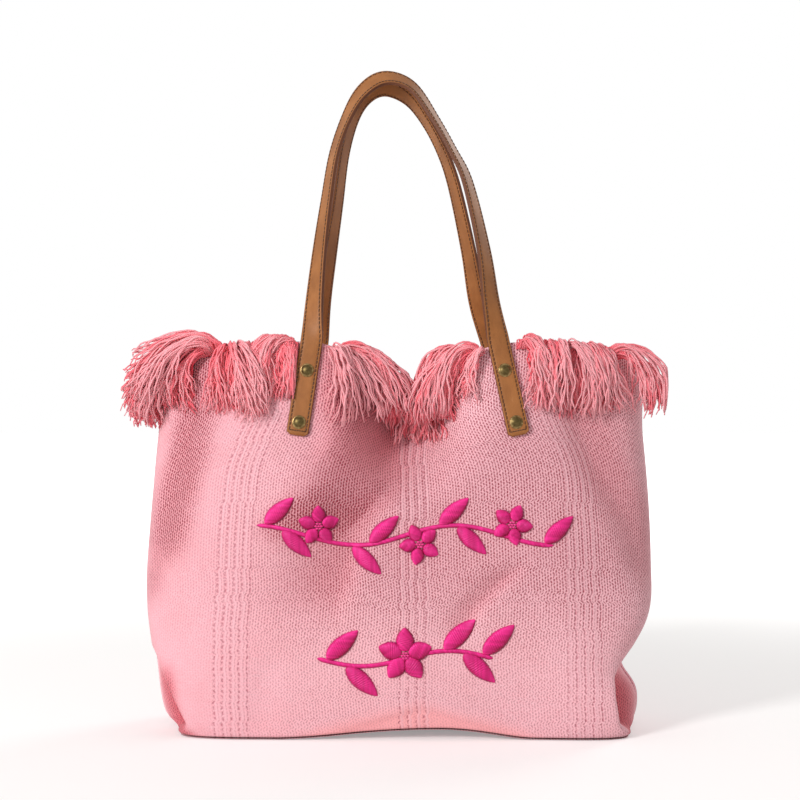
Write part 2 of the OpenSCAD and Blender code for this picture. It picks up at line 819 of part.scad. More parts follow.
color(YARN) fringe(-side_end, -side_start(-1));  // front_fringe_left
color(YARN) fringe(-middle_end, middle_end);  // front_fringe_middle
color(YARN) fringe(side_start(1), side_end);  // front_fringe_right
color(YARN) to_back() fringe(-side_end, -side_start(-1));  // back_fringe_left
color(YARN) to_back() fringe(-middle_end, middle_end);  // back_fringe_middle
color(YARN) to_back() fringe(side_start(1), side_end);  // back_fringe_right

color(THREAD) upper_sprig();  // upper_embroidery
color(THREAD) lower_sprig();  // lower_embroidery

color(LEATHER) strap_end(-1, "outer");  // front_left_strap_end_outer
color(LEATHER) strap_end(1, "outer");  // front_right_strap_end_outer
color(LEATHER) to_back() strap_end(-1, "outer");  // back_left_strap_end_outer
color(LEATHER) to_back() strap_end(1, "outer");  // back_right_strap_end_outer
color(LEATHER) strap_end(-1, "inner");  // front_left_strap_end_inner
color(LEATHER) strap_end(1, "inner");  // front_right_strap_end_inner
color(LEATHER) to_back() strap_end(-1, "inner");  // back_left_strap_end_inner
color(LEATHER) to_back() strap_end(1, "inner");  // back_right_strap_end_inner

color(BRASS) rivet_caps(-1);  // front_left_rivet_caps
color(BRASS) rivet_caps(1);  // front_right_rivet_caps
color(BRASS) to_back() rivet_caps(-1);  // back_left_rivet_caps
color(BRASS) to_back() rivet_caps(1);  // back_right_rivet_caps
color(BRASS) rivet_posts(-1);  // front_left_rivet_posts
color(BRASS) rivet_posts(1);  // front_right_rivet_posts
color(BRASS) to_back() rivet_posts(-1);  // back_left_rivet_posts
color(BRASS) to_back() rivet_posts(1);  // back_right_rivet_posts

color(LEATHER) handle_layer(front_loop_shape, "outer");  // front_handle_outer
color(LEATHER) handle_layer(front_loop_shape, "inner");  // front_handle_inner
color(LEATHER) to_back() handle_layer(back_loop_shape, "outer");  // back_handle_outer
color(LEATHER) to_back() handle_layer(back_loop_shape, "inner");  // back_handle_inner

color(STEEL) at_snap() socket_half();  // snap_socket
color(STEEL) at_snap() stud_half();  // snap_stud
color(STEEL) snap_washer(-1);  // front_snap_washer
color(STEEL) snap_washer(1);  // back_snap_washer

color(LINING) pocket_cloth();  // pocket_patch
color(TAPE) tape_cloth();  // zip_tape
color(TAPE) teeth();  // zip_teeth
color(STEEL) stops();  // zip_stops
color(STEEL) slider();  // zip_slider
color(STEEL) pull();  // zip_pull
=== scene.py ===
"""A fringed cotton beach bag with leather handles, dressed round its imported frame.

Lengths in this file are in millimetres until a mesh is written, and metres from there on.
x runs from the bag's left to its right as its front is faced, y from front to back, z up.
"""

import bmesh
import bpy
import numpy as np
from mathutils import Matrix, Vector


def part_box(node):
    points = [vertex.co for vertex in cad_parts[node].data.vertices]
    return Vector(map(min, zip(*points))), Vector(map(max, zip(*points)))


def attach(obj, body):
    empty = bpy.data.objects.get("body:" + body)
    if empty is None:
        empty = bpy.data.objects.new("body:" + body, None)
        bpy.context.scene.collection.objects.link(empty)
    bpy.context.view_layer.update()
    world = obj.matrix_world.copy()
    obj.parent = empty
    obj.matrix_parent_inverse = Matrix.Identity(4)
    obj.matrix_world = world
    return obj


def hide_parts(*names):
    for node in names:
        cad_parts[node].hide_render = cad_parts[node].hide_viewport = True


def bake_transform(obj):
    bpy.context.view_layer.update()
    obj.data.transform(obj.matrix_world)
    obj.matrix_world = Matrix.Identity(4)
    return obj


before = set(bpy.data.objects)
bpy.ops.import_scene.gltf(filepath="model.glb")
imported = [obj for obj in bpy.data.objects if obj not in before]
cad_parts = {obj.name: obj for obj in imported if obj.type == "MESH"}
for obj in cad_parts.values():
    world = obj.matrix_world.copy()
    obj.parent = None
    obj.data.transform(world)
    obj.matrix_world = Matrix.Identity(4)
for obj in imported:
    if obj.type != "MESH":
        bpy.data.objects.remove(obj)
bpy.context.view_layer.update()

MM = 0.001
DRAWS = np.random.default_rng(20)
FRONT, BACK = -1.0, 1.0

# ---------------------------------------------------------------- driving sizes

CANVAS, LINING, LAYER_GAP = 2.5, 0.8, 0.9
LINING_INSET = CANVAS + LAYER_GAP + LINING
CLOTH_HEIGHT = 350.0
BASE_WIDTH, MOUTH_WIDTH = 412.0, 446.0
BASE_DEPTH, MOUTH_DEPTH = 150.0, 120.0
SIDE_SWELL, BELLY = 24.7, 9.0
SAG_POWER = 0.7
BASE_SQUARE, MOUTH_SQUARE = 6.0, 2.2
RIM_HEIGHT, RIM_DIP, RIM_SIDE_DROP, RIM_HALF = 359.0, 38.0, 20.0, 223.0
DIP_PLACE, DIP_SHOULDER = 6.0, 52.0
ARCH_RISE, ARCH_PLACE, ARCH_LEFT, ARCH_RIGHT = 8.6, 30.0, 150.0, 90.0
PINCH_Y, PINCH_FLAT, PINCH_SHOULDER, PINCH_SHIFT = 7.25, 11.5, 31.0, 5.0
PINCH_FROM, PINCH_FULL = 0.62, 0.89

# The mouth's edge turns over in a half round; the foot turns under by a quarter of an oval
RIM_ROUND, FOOT_IN, FOOT_DOWN = 1.9, 4.2, 2.4
HEM_ROWS = np.array([2.0, 4.5, 8.0, 12.0])

# How the sides slump. The left sags at half height and over its foot; the right is nipped above its foot
LEFT_SAG, LEFT_FOOT = 2.6, 10.5
RIGHT_DRAW, RIGHT_NIP, RIGHT_FOOT, NIP_HEIGHT = -7.0, 19.0, 12.0, 61.0
SLUMP_HEIGHT = 336.0

STRAP_WIDTH, STRAP_THICK = 20.0, 3.6
HANDLE_HALF, HANDLE_RISE, BEND_HEIGHT = 84.5, 248.0, 362.0
LOOP_FOOT_Y, LOOP_TOP_Y = -58.09, -9.2
STRAP_END, LEFT_LEAN, RIGHT_LEAN = 88.0, 8.5, 12.0
STRAP_STEP, STRAP_CORNER = 2.5, 3.2
STITCH_PITCH, STITCH_INSET = 3.9, 2.4
RIVET_CAP, RIVET_RISE, RIVET_DROPS = 12.5, 2.8, (29.0, 76.0)

YARN_RADIUS = 0.88
FRINGE_LEFT, FRINGE_RIGHT = -264, 246

UPPER_STEM = dict(height=184.0, width=268.0, wave=9.0, waves=1.5, leaves=17, leaf=35.0, petal=19.0,
                  blossoms=((-0.29, 12.0), (0.05, -12.0), (0.36, 12.0)))
LOWER_STEM = dict(height=74.0, width=158.0, wave=7.0, waves=1.0, leaves=9, leaf=38.0, petal=25.0,
                  blossoms=((0.0, 3.0),))
STEM_WIDTH, STITCH_HEIGHT = 4.4, 2.1

# Where the ridge of each foot runs: heights, and how far out
GUSSET_RIGHT = ((0, 14, 38, 56, 66, 83), (204, 194, 190, 190, 197, 215))
GUSSET_LEFT = ((0, 12, 66, 92), (201, 198, 227, 241))

# The courses of three of the front's folds: heights, and where across
PINCH_FOLD = ((120, 190, 208, 235, 263, 330), (-66, -47, -29, -6, 4, 9))
LEFT_FOLD = ((120, 157, 210, 257, 300), (-237, -230, -219, -206, -198))
RIGHT_FOLD = ((140, 194, 244, 306), (226, 207, 177, 152))

# Every valley of the cloth: its course, its depth, its widths to the left and right, and the fade at its ends
FRONT_CREASES = (
    (*PINCH_FOLD, 8.5, 52, 14, 60),
    (*LEFT_FOLD, 6.5, 11, 17, 40),
    (*RIGHT_FOLD, 9.0, 18, 34, 40),
    ((95, 119, 155), (50, 62, 100), 5.0, 18, 9, 26),
    ((10, 45, 75), (-130, -126, -120), 1.8, 14, 14, 30),
)
BACK_CREASES = (
    ((225, 250, 280, 330), (40, 26, 12, 2), 4.0, 14, 34, 30),
    ((60, 157, 257, 300), (190, 196, 188, 170), 5.0, 16, 12, 40),
    ((60, 150, 250, 306), (-182, -196, -184, -160), 5.5, 12, 17, 40),
)


# ---------------------------------------------------------------- meshes


def grid_faces(rows, columns, closed=False):
    """Quads of a grid of rows x columns points, each turning from its row's way to its column's way. A closed grid
    joins its last column to its first."""
    r = np.arange(rows - 1)[:, None]
    c = np.arange(columns if closed else columns - 1)[None, :]
    right = (c + 1) % columns
    quads = np.stack([r * columns + c, r * columns + right, (r + 1) * columns + right, (r + 1) * columns + c], -1)
    return quads.reshape(-1, 4)


def copies(faces, count, stride):
    """The faces of one shape again for each of count shapes whose points follow each other, stride points each."""
    return (faces[None] + (np.arange(count) * stride)[:, None, None]).reshape(-1, faces.shape[1])


def piece(name, points, faces, material, body="bag", slot=None, replaces=(), uv=None, weld=False,
          flip=False, **attributes):
    """A finished object at the origin: points in millimetres, faces, a UV in millimetres and point attributes."""
    points = np.asarray(points, float).reshape(-1, 3)
    if flip:
        faces = faces[:, ::-1]
    mesh = bpy.data.meshes.new(name)
    mesh.from_pydata((points * MM).tolist(), [], faces.tolist() if isinstance(faces, np.ndarray) else faces)
    if uv is not None:
        corners = np.empty(len(mesh.loops), np.int32)
        mesh.loops.foreach_get("vertex_index", corners)
        layer = mesh.uv_layers.new(name="cloth")
        layer.data.foreach_set("uv", np.asarray(uv, float).reshape(-1, 2)[corners].astype(np.float32).ravel())
    for key, values in attributes.items():
        layer = mesh.attributes.new(key, "FLOAT", "POINT")
        layer.data.foreach_set("value", np.asarray(values, np.float32).ravel())
    if weld:
        work = bmesh.new()
        work.from_mesh(mesh)
        bmesh.ops.remove_doubles(work, verts=work.verts, dist=1e-6)
        work.to_mesh(mesh)
        work.free()
    mesh.polygons.foreach_set("use_smooth", np.ones(len(mesh.polygons), bool))
    mesh.update()
    mesh.materials.append(material)
    made = bpy.data.objects.new(name, mesh)
    bpy.context.scene.collection.objects.link(made)
    if body:
        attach(made, body)
    if replaces:
        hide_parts(*replaces)
    return made


def unit(v):
    """Each vector over its length."""
    return v / np.maximum(np.linalg.norm(v, axis=-1, keepdims=True), 1e-9)


def smooth(v):
    """0 to 1 in an even S: v squared times (3 - 2 v), held at its ends."""
    v = np.clip(v, 0, 1)
    return v * v * (3 - 2 * v)


def hill(v, width):
    """A bell: e to the minus (v over width) squared."""
    return np.exp(-((v / width) ** 2))


def running(points, axis):
    """The length of line from the first point to each point along an axis."""
    steps = np.linalg.norm(np.diff(points, axis=axis), axis=-1)
    start = np.zeros_like(np.take(steps, [0], axis))
    return np.concatenate([start, np.cumsum(steps, axis)], axis)


def read_at(places, known, vectors):
    """Vectors that stand at the known lengths, read between them at other places."""
    return np.stack([np.interp(places, known, vectors[:, k]) for k in range(3)], -1)


def closed_ends(rings):
    """Rings of points, with one more at each end that is drawn together to a point."""
    first, last = (np.broadcast_to(ring.mean(0), ring.shape)[None] for ring in (rings[0], rings[-1]))
    return np.concatenate([first, rings, last])


# ---------------------------------------------------------------- the bag's own surface


def swell(t):
    """How far the cloth has sagged outwards at height share t: a half sine of t to the sag power."""
    return np.sin(np.pi * np.clip(t, 0, 1) ** SAG_POWER)


def arch_height(x):
    """The base's lift over the floor: a smooth hump that is low at both feet."""
    reach = np.where(x < ARCH_PLACE, ARCH_LEFT, ARCH_RIGHT)
    return ARCH_RISE * np.clip(1 - ((x - ARCH_PLACE) / reach) ** 2, 0, 1) ** 2


def rim_height(x):
    """The mouth's edge: level, less a bell at the middle where the mouth is snapped, less a droop to the sides."""
    return RIM_HEIGHT - RIM_DIP * hill(x - DIP_PLACE, DIP_SHOULDER) - RIM_SIDE_DROP * np.abs(x / RIM_HALF) ** 4


def height_at(x, t):
    """The height at a place x and a share t of the way from the foot to the rim."""
    low = arch_height(x) + CANVAS
    return low + t * (rim_height(x) - low)


def share_at(x, z):
    """The height share t at a place x and height z."""
    low = arch_height(x) + CANVAS
    return (z - low) / (rim_height(x) - low)


def side_reach(t, x_way):
    """Half the width at height share t on the left (x_way < 0) or right: the even taper and its swell, with bells
    for the slump, which fades out under the rim."""
    z = CANVAS + t * SLUMP_HEIGHT
    even = (BASE_WIDTH + (MOUTH_WIDTH - BASE_WIDTH) * t) / 2 + SIDE_SWELL * swell(t)
    left = 1.2 + LEFT_SAG * hill(z - 130, 45) + LEFT_FOOT * hill(z, 48) * smooth((z + 2) / 14)
    over_nip = z - NIP_HEIGHT
    nip = np.where(over_nip > 0, hill(over_nip, 34), hill(over_nip, 18))
    right = RIGHT_DRAW - RIGHT_NIP * nip + RIGHT_FOOT * hill(z, 34) * smooth((z + 6) / 14)
    return even + np.where(x_way < 0, left, right) * smooth((1 - t) / 0.2)


def crease(x, z, heights, places, depth, left, right, fade):
    """A valley along a line that is at x = places where z = heights: a bell across it, wider or narrower on each
    side, that fades out past its two ends."""
    off = x - np.interp(z, heights, places)
    across = np.where(off < 0, hill(off, left), hill(off, right))
    return -depth * across * smooth((z - heights[0]) / fade + 0.5) * smooth((heights[-1] - z) / fade + 0.5)


def front_folds(x, z):
    """How far the front cloth stands out from its even shape: its creases, the bulge beside the pinch fold, a slow
    ripple, the tuck under a low roof at the middle of the base, and the fullness over the right foot."""
    valleys = sum(crease(x, z, *c) for c in FRONT_CREASES)
    bulge = 8.5 * hill(x + 84 - (z - 230) * 0.35, 34) * hill(z - 240, 60)
    ripple = 1.6 * np.sin(x / 31 + 0.8) * np.sin(z / 47 + 0.5) * hill(z - 120, 95)
    under = 33 - 0.31 * np.abs(x - 14) - z
    tuck = 1.6 * smooth(under / 7) + 0.02 * np.maximum(under, 0)
    full = 10.0 * hill(x - 202, 60) * hill(z - 28, 75)
    return valleys + bulge + ripple - tuck + full


def back_folds(x, z):
    """The same for the back, which hangs more evenly: two long folds at the sides and a slack one from the pinch."""
    return sum(crease(x, z, *c) for c in BACK_CREASES)


def tab_clearing(x, z):
    """0 where a strap end lies and 1 away from it: the cloth is flat under the leather."""
    drop = np.clip(BEND_HEIGHT - z, 0, STRAP_END)
    lean = np.where(x < 0, np.tan(np.radians(LEFT_LEAN)), np.tan(np.radians(RIGHT_LEAN)))
    off = np.abs(np.abs(x) - HANDLE_HALF - drop * lean)
    return np.clip(smooth((off - 12) / 22) + smooth((BEND_HEIGHT - STRAP_END - 6 - z) / 24), 0, 1)


def wall_depth(x, t, side, inset=0.0):
    """How far the cloth stands in front of, or behind, the bag's middle at a place x and height share t. It is a
    rounded box section, (1 - |x/width|^n)^(1/n) of the depth, nearly square at the base and lens-like at the mouth,
    drawn in at the middle of the mouth by a bell, and then folded. Returns that depth, the height and the
    section's own share of the depth."""
    n = BASE_SQUARE + (MOUTH_SQUARE - BASE_SQUARE) * np.clip(t, 0, 1) ** SAG_POWER
    deep = (BASE_DEPTH + (MOUTH_DEPTH - BASE_DEPTH) * t) / 2 + BELLY * swell(t) - inset
    across = np.clip(np.abs(x) / (side_reach(t, x) - inset), 0, 1)
    round_ = np.clip(1 - across ** n, 0, 1) ** (1 / n)
    off = np.maximum(0, np.abs(x - PINCH_SHIFT * smooth((t - 0.5) / 0.5)) - PINCH_FLAT)
    drawn = smooth((t - PINCH_FROM) / (PINCH_FULL - PINCH_FROM)) * hill(off, PINCH_SHOULDER)
    y = (deep - (deep + inset - PINCH_Y) * drawn) * round_
    z = height_at(x, t)
    folds = front_folds(x, z) if side < 0 else back_folds(x, z)
    held = tab_clearing(x, z) * smooth(round_ / 0.45) * (1 - 0.85 * hill(z - 300, 26) * hill(x, 24))
    return y + folds * held, z, round_


def on_wall(x, z, proud=0.0, side=FRONT, inset=0.0):
    """The point on the cloth's outside at x and z, standing proud of it by a distance along y."""
    y, _, _ = wall_depth(x, share_at(x, z), side, inset)
    return np.stack(np.broadcast_arrays(x, side * (y + proud), z), axis=-1)


def even_columns(points, columns):
    """Each row of points again, with its columns an even length of cloth apart: the rows' running lengths, read
    back at even shares."""
    run = running(points, 1)
    wanted = np.linspace(0, 1, columns)
    return np.stack([read_at(wanted, share, row) for share, row in zip(run / run[:, -1:], points)])


def wall(side, shares, columns, inset=0.0):
    """The cloth of one side as a grid: rows at height shares, columns from the left seam to the right one.
    x is the reach times the sine of an angle, so that the corners get their points. At each foot the corner is
    drawn in to a ridge, and behind it the side's own cloth comes out again to the reach; then the columns are
    spaced evenly."""
    t = np.asarray(shares, float)[:, None]
    angle = np.linspace(-np.pi / 2, np.pi / 2, 1401)[None, :]
    reach = side_reach(t, angle) - inset
    x = reach * np.sin(angle)
    y, z, round_ = wall_depth(x, np.broadcast_to(t, x.shape), side, inset)
    ridge = np.where(x > 0, np.interp(z, *GUSSET_RIGHT), np.interp(z, *GUSSET_LEFT)) - inset
    drawn = (0.5 if side < 0 else 0.25) * smooth((82 - z) / 18) * smooth((z + 1) / 16)
    out = ridge + (reach - ridge) * smooth((0.55 - round_) / 0.43) - 6 * hill(round_ - 0.5, 0.13)
    past = np.abs(x) - out
    x = x - np.sign(x) * drawn * (past + np.sqrt(past ** 2 + 9.0)) * smooth((np.abs(x) - 60) / 60)
    return even_columns(np.stack([x, side * y, z], axis=-1), columns)


def painted_shade_and_bounce(points):
    """Three tones of the cloth at each point, 0 to 1, that paint light and shade. The folds, painted shade in a
    redder tint, are the left wall of the pinch, the creases, and the cloth behind the ridges at the feet. The
    hollows, darker painted shade, are the last two, the long slope to the left of the pinch fold and the slack cloth
    beside the left fold. The warm patch is under the middle, where the cloth turns under the base: painted bounced
    light from the floor, on a plainer weave."""
    x, y, z = points[..., 0], points[..., 1], points[..., 2]
    front = float(y.mean() < 0)
    ahead = 1.0 if front else 0.3
    # Painted shade on the left wall of the pinch and in the creases, weaker on the back
    pinch = ahead * hill(x + 22, 42) * smooth((z - 205) / 70) * smooth((12 - x) / 20)
    folds = front_folds(x, z) if front else back_folds(x, z)
    valleys = ahead * np.clip(-folds / 7, 0, 1) * 0.7 * smooth((z - 60) / 40)

    # Painted shade in the hollows behind the ridges at the feet
    in_from_face = np.abs(y) - 6
    behind = smooth((76 - z) / 36) * smooth((70 - np.abs(y)) / 9) * smooth((np.abs(x) - 150) / 20) * front
    behind = behind * np.where(x < 0, 0.75 * smooth(in_from_face / 24), 0.8 * smooth(in_from_face / 36))

    # Painted shade on the long slope to the left of the pinch fold
    off_pinch = x - np.interp(z, *PINCH_FOLD)
    beside = smooth((5 - off_pinch) / 14) * smooth((off_pinch + 108) / 56) * smooth((z - 158) / 44) * front
    beside = beside * (0.5 + 0.5 * smooth((345 - z) / 90))
    beside = beside * (0.42 + 0.16 * smooth((232 - z) / 30) + 0.45 * smooth((z - 270) / 50)
                       - 0.34 * smooth((z - 205) / 60) * hill(off_pinch, 50))
    # Painted shade on the slack cloth beside the left fold
    slack = hill(x - np.interp(z, *LEFT_FOLD) - 8, 22) * smooth((z - 130) / 60) * front

    # Painted bounced light from the floor under the middle, where the cloth also has a plainer weave
    off_middle = np.abs(x - 12)
    warm = smooth((42 - 0.27 * off_middle - z) / 18) * smooth((135 - off_middle) / 50) * front
    # Painted shade of the folds, and the darker painted shade of the hollows
    fold = np.max([(0.45 + 0.3 * smooth((z - 280) / 40)) * pinch, 0.12 * valleys, 0.9 * behind], axis=0)
    hollow_shade = np.max([0.62 * behind, 0.36 * valleys, beside, 0.42 * slack], axis=0)
    return dict(fold=np.clip(fold, 0, 1), hollow_shade=hollow_shade, warm=warm)


def cloth_uv(points, shares):
    """Place on the cloth in millimetres: the running length of each row from the bag's middle, and up by share of
    the height."""
    across = running(points, 1)
    middle = np.argmin(np.abs(points[..., 0]), axis=1)
    across = across - across[np.arange(len(points)), middle][:, None]
    up = np.asarray(shares, float)[:, None] * CLOTH_HEIGHT
    return np.stack(np.broadcast_arrays(across, up), axis=-1)


# ---------------------------------------------------------------- finishes


def display(red, green, blue):
    """A colour named by its 0 to 255 display values, as the shader's linear light."""
    c = np.array([red, green, blue]) / 255
    return tuple(np.where(c <= 0.04045, c / 12.92, ((c + 0.055) / 1.055) ** 2.4)) + (1.0,)


class Graph:
    """A node tree, with short calls that add a node to it and give its output."""

    def __init__(self, tree):
        self.tree = tree
        tree.nodes.clear()

    def put(self, socket, value):
        """Links an output to a socket, or writes a plain value there."""
        if isinstance(value, bpy.types.NodeSocket):
            self.tree.links.new(value, socket)
        else:
            socket.default_value = value

    def add(self, kind, settings=(), **inputs):
        """A new node, with its own settings and its inputs by name."""
        node = self.tree.nodes.new("ShaderNode" + kind)
        for key, value in dict(settings).items():
            setattr(node, key, value)
        for key, value in inputs.items():
            self.put(node.inputs[key.replace("_", " ")], value)
        return node

    def math(self, how, *values):
        """One step of arithmetic on the values, by its operation's name."""
        node = self.add("Math", dict(operation=how))
        for socket, value in zip(node.inputs, values):
            self.put(socket, value)
        return node.outputs[0]

    def plus(self, a, b):
        """The sum of both."""
        return self.math("ADD", a, b)

    def less(self, a, b):
        """The first, less the second."""
        return self.math("SUBTRACT", a, b)

    def times(self, a, b):
        """The product of both."""
        return self.math("MULTIPLY", a, b)

    def line(self, a, slope, start):
        """A value times a slope, from a start."""
        return self.math("MULTIPLY_ADD", a, slope, start)

    def wave(self, turns):
        """0 to 1 and back once in each turn."""
        return self.line(self.math("SINE", turns), 0.5, 0.5)

    def step(self, value, low, high, least=0.0, most=1.0):
        """The least below low and the most above high, with a smooth S between."""
        node = self.add("MapRange", dict(interpolation_type="SMOOTHSTEP"), Value=value, From_Min=low,
                        From_Max=high, To_Min=least, To_Max=most)
        return node.outputs["Result"]

    def near(self, value, centre, half, soft):
        """1 within half of a centre, falling to 0 over soft."""
        off = self.math("ABSOLUTE", self.less(value, centre))
        return self.less(1.0, self.step(off, half, half + soft))

    def seen_by(self, *rays):
        """1 to the camera's own rays, and to the other kinds named."""
        path = self.add("LightPath")
        share = path.outputs["Is Camera Ray"]
        for ray in rays:
            share = self.math("MAXIMUM", share, path.outputs[ray])
        return share


class Finish(Graph):
    """A node material with one Principled shader, which the calls below feed."""

    def __init__(self, name, roughness, **sockets):
        self.material = bpy.data.materials.new(name)
        self.material.use_nodes = True
        super().__init__(self.material.node_tree)
        self.shader = self.add("BsdfPrincipled", Roughness=roughness, **sockets)
        self.put(self.add("OutputMaterial").inputs[0], self.shader.outputs[0])

    def mix(self, share, a, b):
        """Colour a, passing to colour b as the share goes to 1."""
        node = self.add("Mix", dict(data_type="RGBA"), Factor=share)
        self.put(node.inputs[6], a)
        self.put(node.inputs[7], b)
        return node.outputs[2]

    def place(self, kind="UV", scale=(1, 1, 1)):
        """The piece's own UV in millimetres, or Object coordinates in metres, scaled."""
        spot = self.add("TexCoord").outputs[kind]
        return self.add("Mapping", Vector=spot, Scale=scale).outputs[0]

    def cloth_axes(self):
        """Across the cloth and up it, or round a strand and along it, in millimetres."""
        node = self.add("SeparateXYZ", Vector=self.place())
        return node.outputs[0], node.outputs[1]

    def noise(self, across, up, detail, scale=1.0, rough=0.55):
        """Cloudy noise on the UV, with so many clouds to a millimetre across and up."""
        return self.cloud(self.place("UV", (across, up, 1)), detail, scale, rough)

    def cloud(self, vector, detail, scale=1.0, rough=0.55):
        """Cloudy noise over any coordinates."""
        return self.add("TexNoise", Vector=vector, Scale=scale, Detail=detail, Roughness=rough).outputs["Fac"]

    def attribute(self, name):
        """A value that the mesh carries at each point."""
        return self.add("Attribute", dict(attribute_name=name)).outputs["Fac"]

    def colour(self, value):
        """Feeds the base colour."""
        self.put(self.shader.inputs["Base Color"], value)

    def roughness(self, value):
        """Feeds the roughness."""
        self.put(self.shader.inputs["Roughness"], value)

    def bump(self, height, distance, strength):
        """Feeds a bump from a height of 0 to 1, as deep as a distance in millimetres."""
        node = self.add("Bump", Distance=distance * MM, Strength=strength, Height=height)
        self.put(self.shader.inputs["Normal"], node.outputs[0])


def canvas_finish():
    """Slubby pink cotton: pale weft with a half-drop of slanted dark gaps, crossed by three bands of open ladder
    stitches that run up the cloth. The gaps fade where the cloth is loose. Painted light: the gaps fade on the left,
    towards the lamp, and the cloth away from the left is painted paler. Painted shade: a patch above the middle, the
    folds and the hollows bring darker tints. The warm patch under the middle is painted bounced light, on a plainer
    weave."""
    end_pitch, pick_pitch = 2.6, 3.1
    ladder_places, ladder_half, post_pitch, rung_pitch = (-156.0, 9.0, 164.0), 15.0, 7.6, 5.0
    light, mid, slow_tint, gap = (display(245, 189, 198), display(243, 176, 186), display(243, 166, 172),
                                  display(152, 44, 62))
    painted_light_tint, painted_middle_shade_tint, painted_fold_shade = display(255, 204, 212), display(228, 166, 176), display(246, 98, 112)
    twill_and_bounce_tint, shaded, hole_tint = display(255, 174, 176), display(178, 70, 80), display(176, 84, 100)

    f = Finish("pink_slub_canvas", 0.86, Sheen_Weight=0.25, Sheen_Roughness=0.5, Specular_IOR_Level=0.2)
    across, up = f.cloth_axes()
    slow = f.noise(0.02, 0.02, 3)
    slub = f.noise(0.10, 0.9, 2)
    fine = f.noise(0.5, 0.3, 2)
    loose = f.noise(0.42, 0.42, 1, scale=1.3)
    fold, hollow_shade, warm = f.attribute("fold"), f.attribute("hollow_shade"), f.attribute("warm")
    painted_light_ramp = f.step(across, -200.0, -60.0)

    # The weave: which end and pick a point is in, and a slanted gap in the middle of each
    end = f.plus(f.math("DIVIDE", across, end_pitch), f.times(fine, 0.5))
    drop = f.times(f.math("MODULO", f.math("FLOOR", end), 2.0), 0.5)
    pick = f.plus(f.math("DIVIDE", up, pick_pitch), f.line(loose, 0.6, drop))
    in_pick = f.math("FRACT", pick)
    odd_pick = f.math("ABSOLUTE", f.math("MODULO", f.math("FLOOR", pick), 2.0))
    lean = f.line(odd_pick, 0.5, f.line(f.noise(0.31, 0.24, 1), 2.2, -1.35))
    in_end = f.line(f.less(in_pick, 0.5), lean, f.math("FRACT", end))
    dash = f.times(f.near(in_end, 0.5, 0.13, 0.22), f.near(in_pick, 0.5, 0.25, 0.22))

    # How strong the gaps are: patchy and softer low down, softer on the left as painted light, and full in the
    # painted shade of folds and hollows
    patch = f.step(f.plus(slub, f.times(slow, 0.6)), 0.42, 0.86)
    dash = f.times(dash, f.line(patch, 0.35, 0.65))
    dash = f.times(dash, f.line(f.step(loose, 0.3, 0.62), 0.45, 0.55))
    creased = f.math("MAXIMUM", f.times(fold, 1.1), f.times(hollow_shade, 4.0))
    # Painted light: the gaps are softer on the left, towards the lamp
    firm = f.math("MAXIMUM", f.line(painted_light_ramp, 0.65, 0.35), creased)
    dash = f.times(dash, f.times(firm, f.line(f.near(up, 0.0, 50.0, 90.0), -0.45, 1.0)))

    # The ladders: posts up the cloth with holes between their rungs
    wander = f.plus(across, f.times(loose, 2.0))
    bands = [f.near(wander, place, ladder_half, 3.0) for place in ladder_places]
    ladders = f.plus(f.plus(bands[0], bands[1]), bands[2])
    post = f.math("FRACT", f.line(fine, 0.35, f.math("DIVIDE", f.plus(across, 752.0), post_pitch)))
    rung = f.math("FRACT", f.line(loose, 0.4, f.math("DIVIDE", up, rung_pitch)))
    hole = f.times(f.near(post, 0.5, 0.05, 0.10), f.near(rung, 0.5, 0.22, 0.2))
    hole = f.times(hole, f.times(ladders, f.step(fine, 0.3, 0.6)))
    cord = f.times(f.near(post, 0.78, 0.10, 0.12), ladders)

    cloth = f.mix(f.step(slub, 0.3, 0.75), mid, light)
    cloth = f.mix(f.times(f.step(slow, 0.35, 0.7), 0.30), cloth, slow_tint)
    # Painted light: the cloth away from the left is painted paler
    cloth = f.mix(f.times(painted_light_ramp, 0.4), cloth, painted_light_tint)
    # Painted shade: a patch about 200 mm up, over the middle of the cloth, is painted darker
    painted_middle_shade = f.times(f.near(up, 200.0, 40.0, 80.0), f.near(across, 35.0, 115.0, 95.0))
    cloth = f.mix(f.times(painted_middle_shade, 0.6), cloth, painted_middle_shade_tint)
    # Painted shade in the folds, redder and darker
    cloth = f.mix(fold, cloth, painted_fold_shade)
    # Painted bounced light under the middle, on a plainer weave with fainter gaps
    cloth = f.mix(f.times(warm, 0.8), cloth, twill_and_bounce_tint)
    # Painted shade in the hollows and on the shaded slopes
    cloth = f.mix(f.times(hollow_shade, 0.85), cloth, shaded)
    dash = f.times(dash, f.line(warm, -0.5, 1.0))
    cloth = f.mix(f.times(dash, 0.95), cloth, gap)
    cloth = f.mix(f.times(hole, 0.65), cloth, hole_tint)
    cloth = f.mix(f.times(cord, 0.45), cloth, light)
    f.colour(cloth)
    height = f.less(f.plus(f.times(slub, 0.5), f.times(cord, 0.35)), dash)
    f.bump(f.less(height, hole), 0.55, 0.8)
    return f.material


def plain_cloth_finish(name, pale, deep, pitch):
    """A plain weave: two sets of ribs, over and under each other, with a slow change of tone."""
    f = Finish(name, 0.85, Sheen_Weight=0.2, Sheen_Roughness=0.5, Specular_IOR_Level=0.2)
    ribs = [f.math("SINE", f.times(axis, 2 * np.pi / pitch)) for axis in f.cloth_axes()]
    weave = f.line(f.times(*ribs), 0.5, 0.5)
    slow = f.noise(0.03, 0.06, 3)
    tone = f.plus(f.times(weave, 0.45), f.times(slow, 0.55))
    f.colour(f.mix(f.step(tone, 0.2, 0.8), deep, pale))
    f.bump(f.plus(weave, slow), 0.15, 0.7)
    return f.material


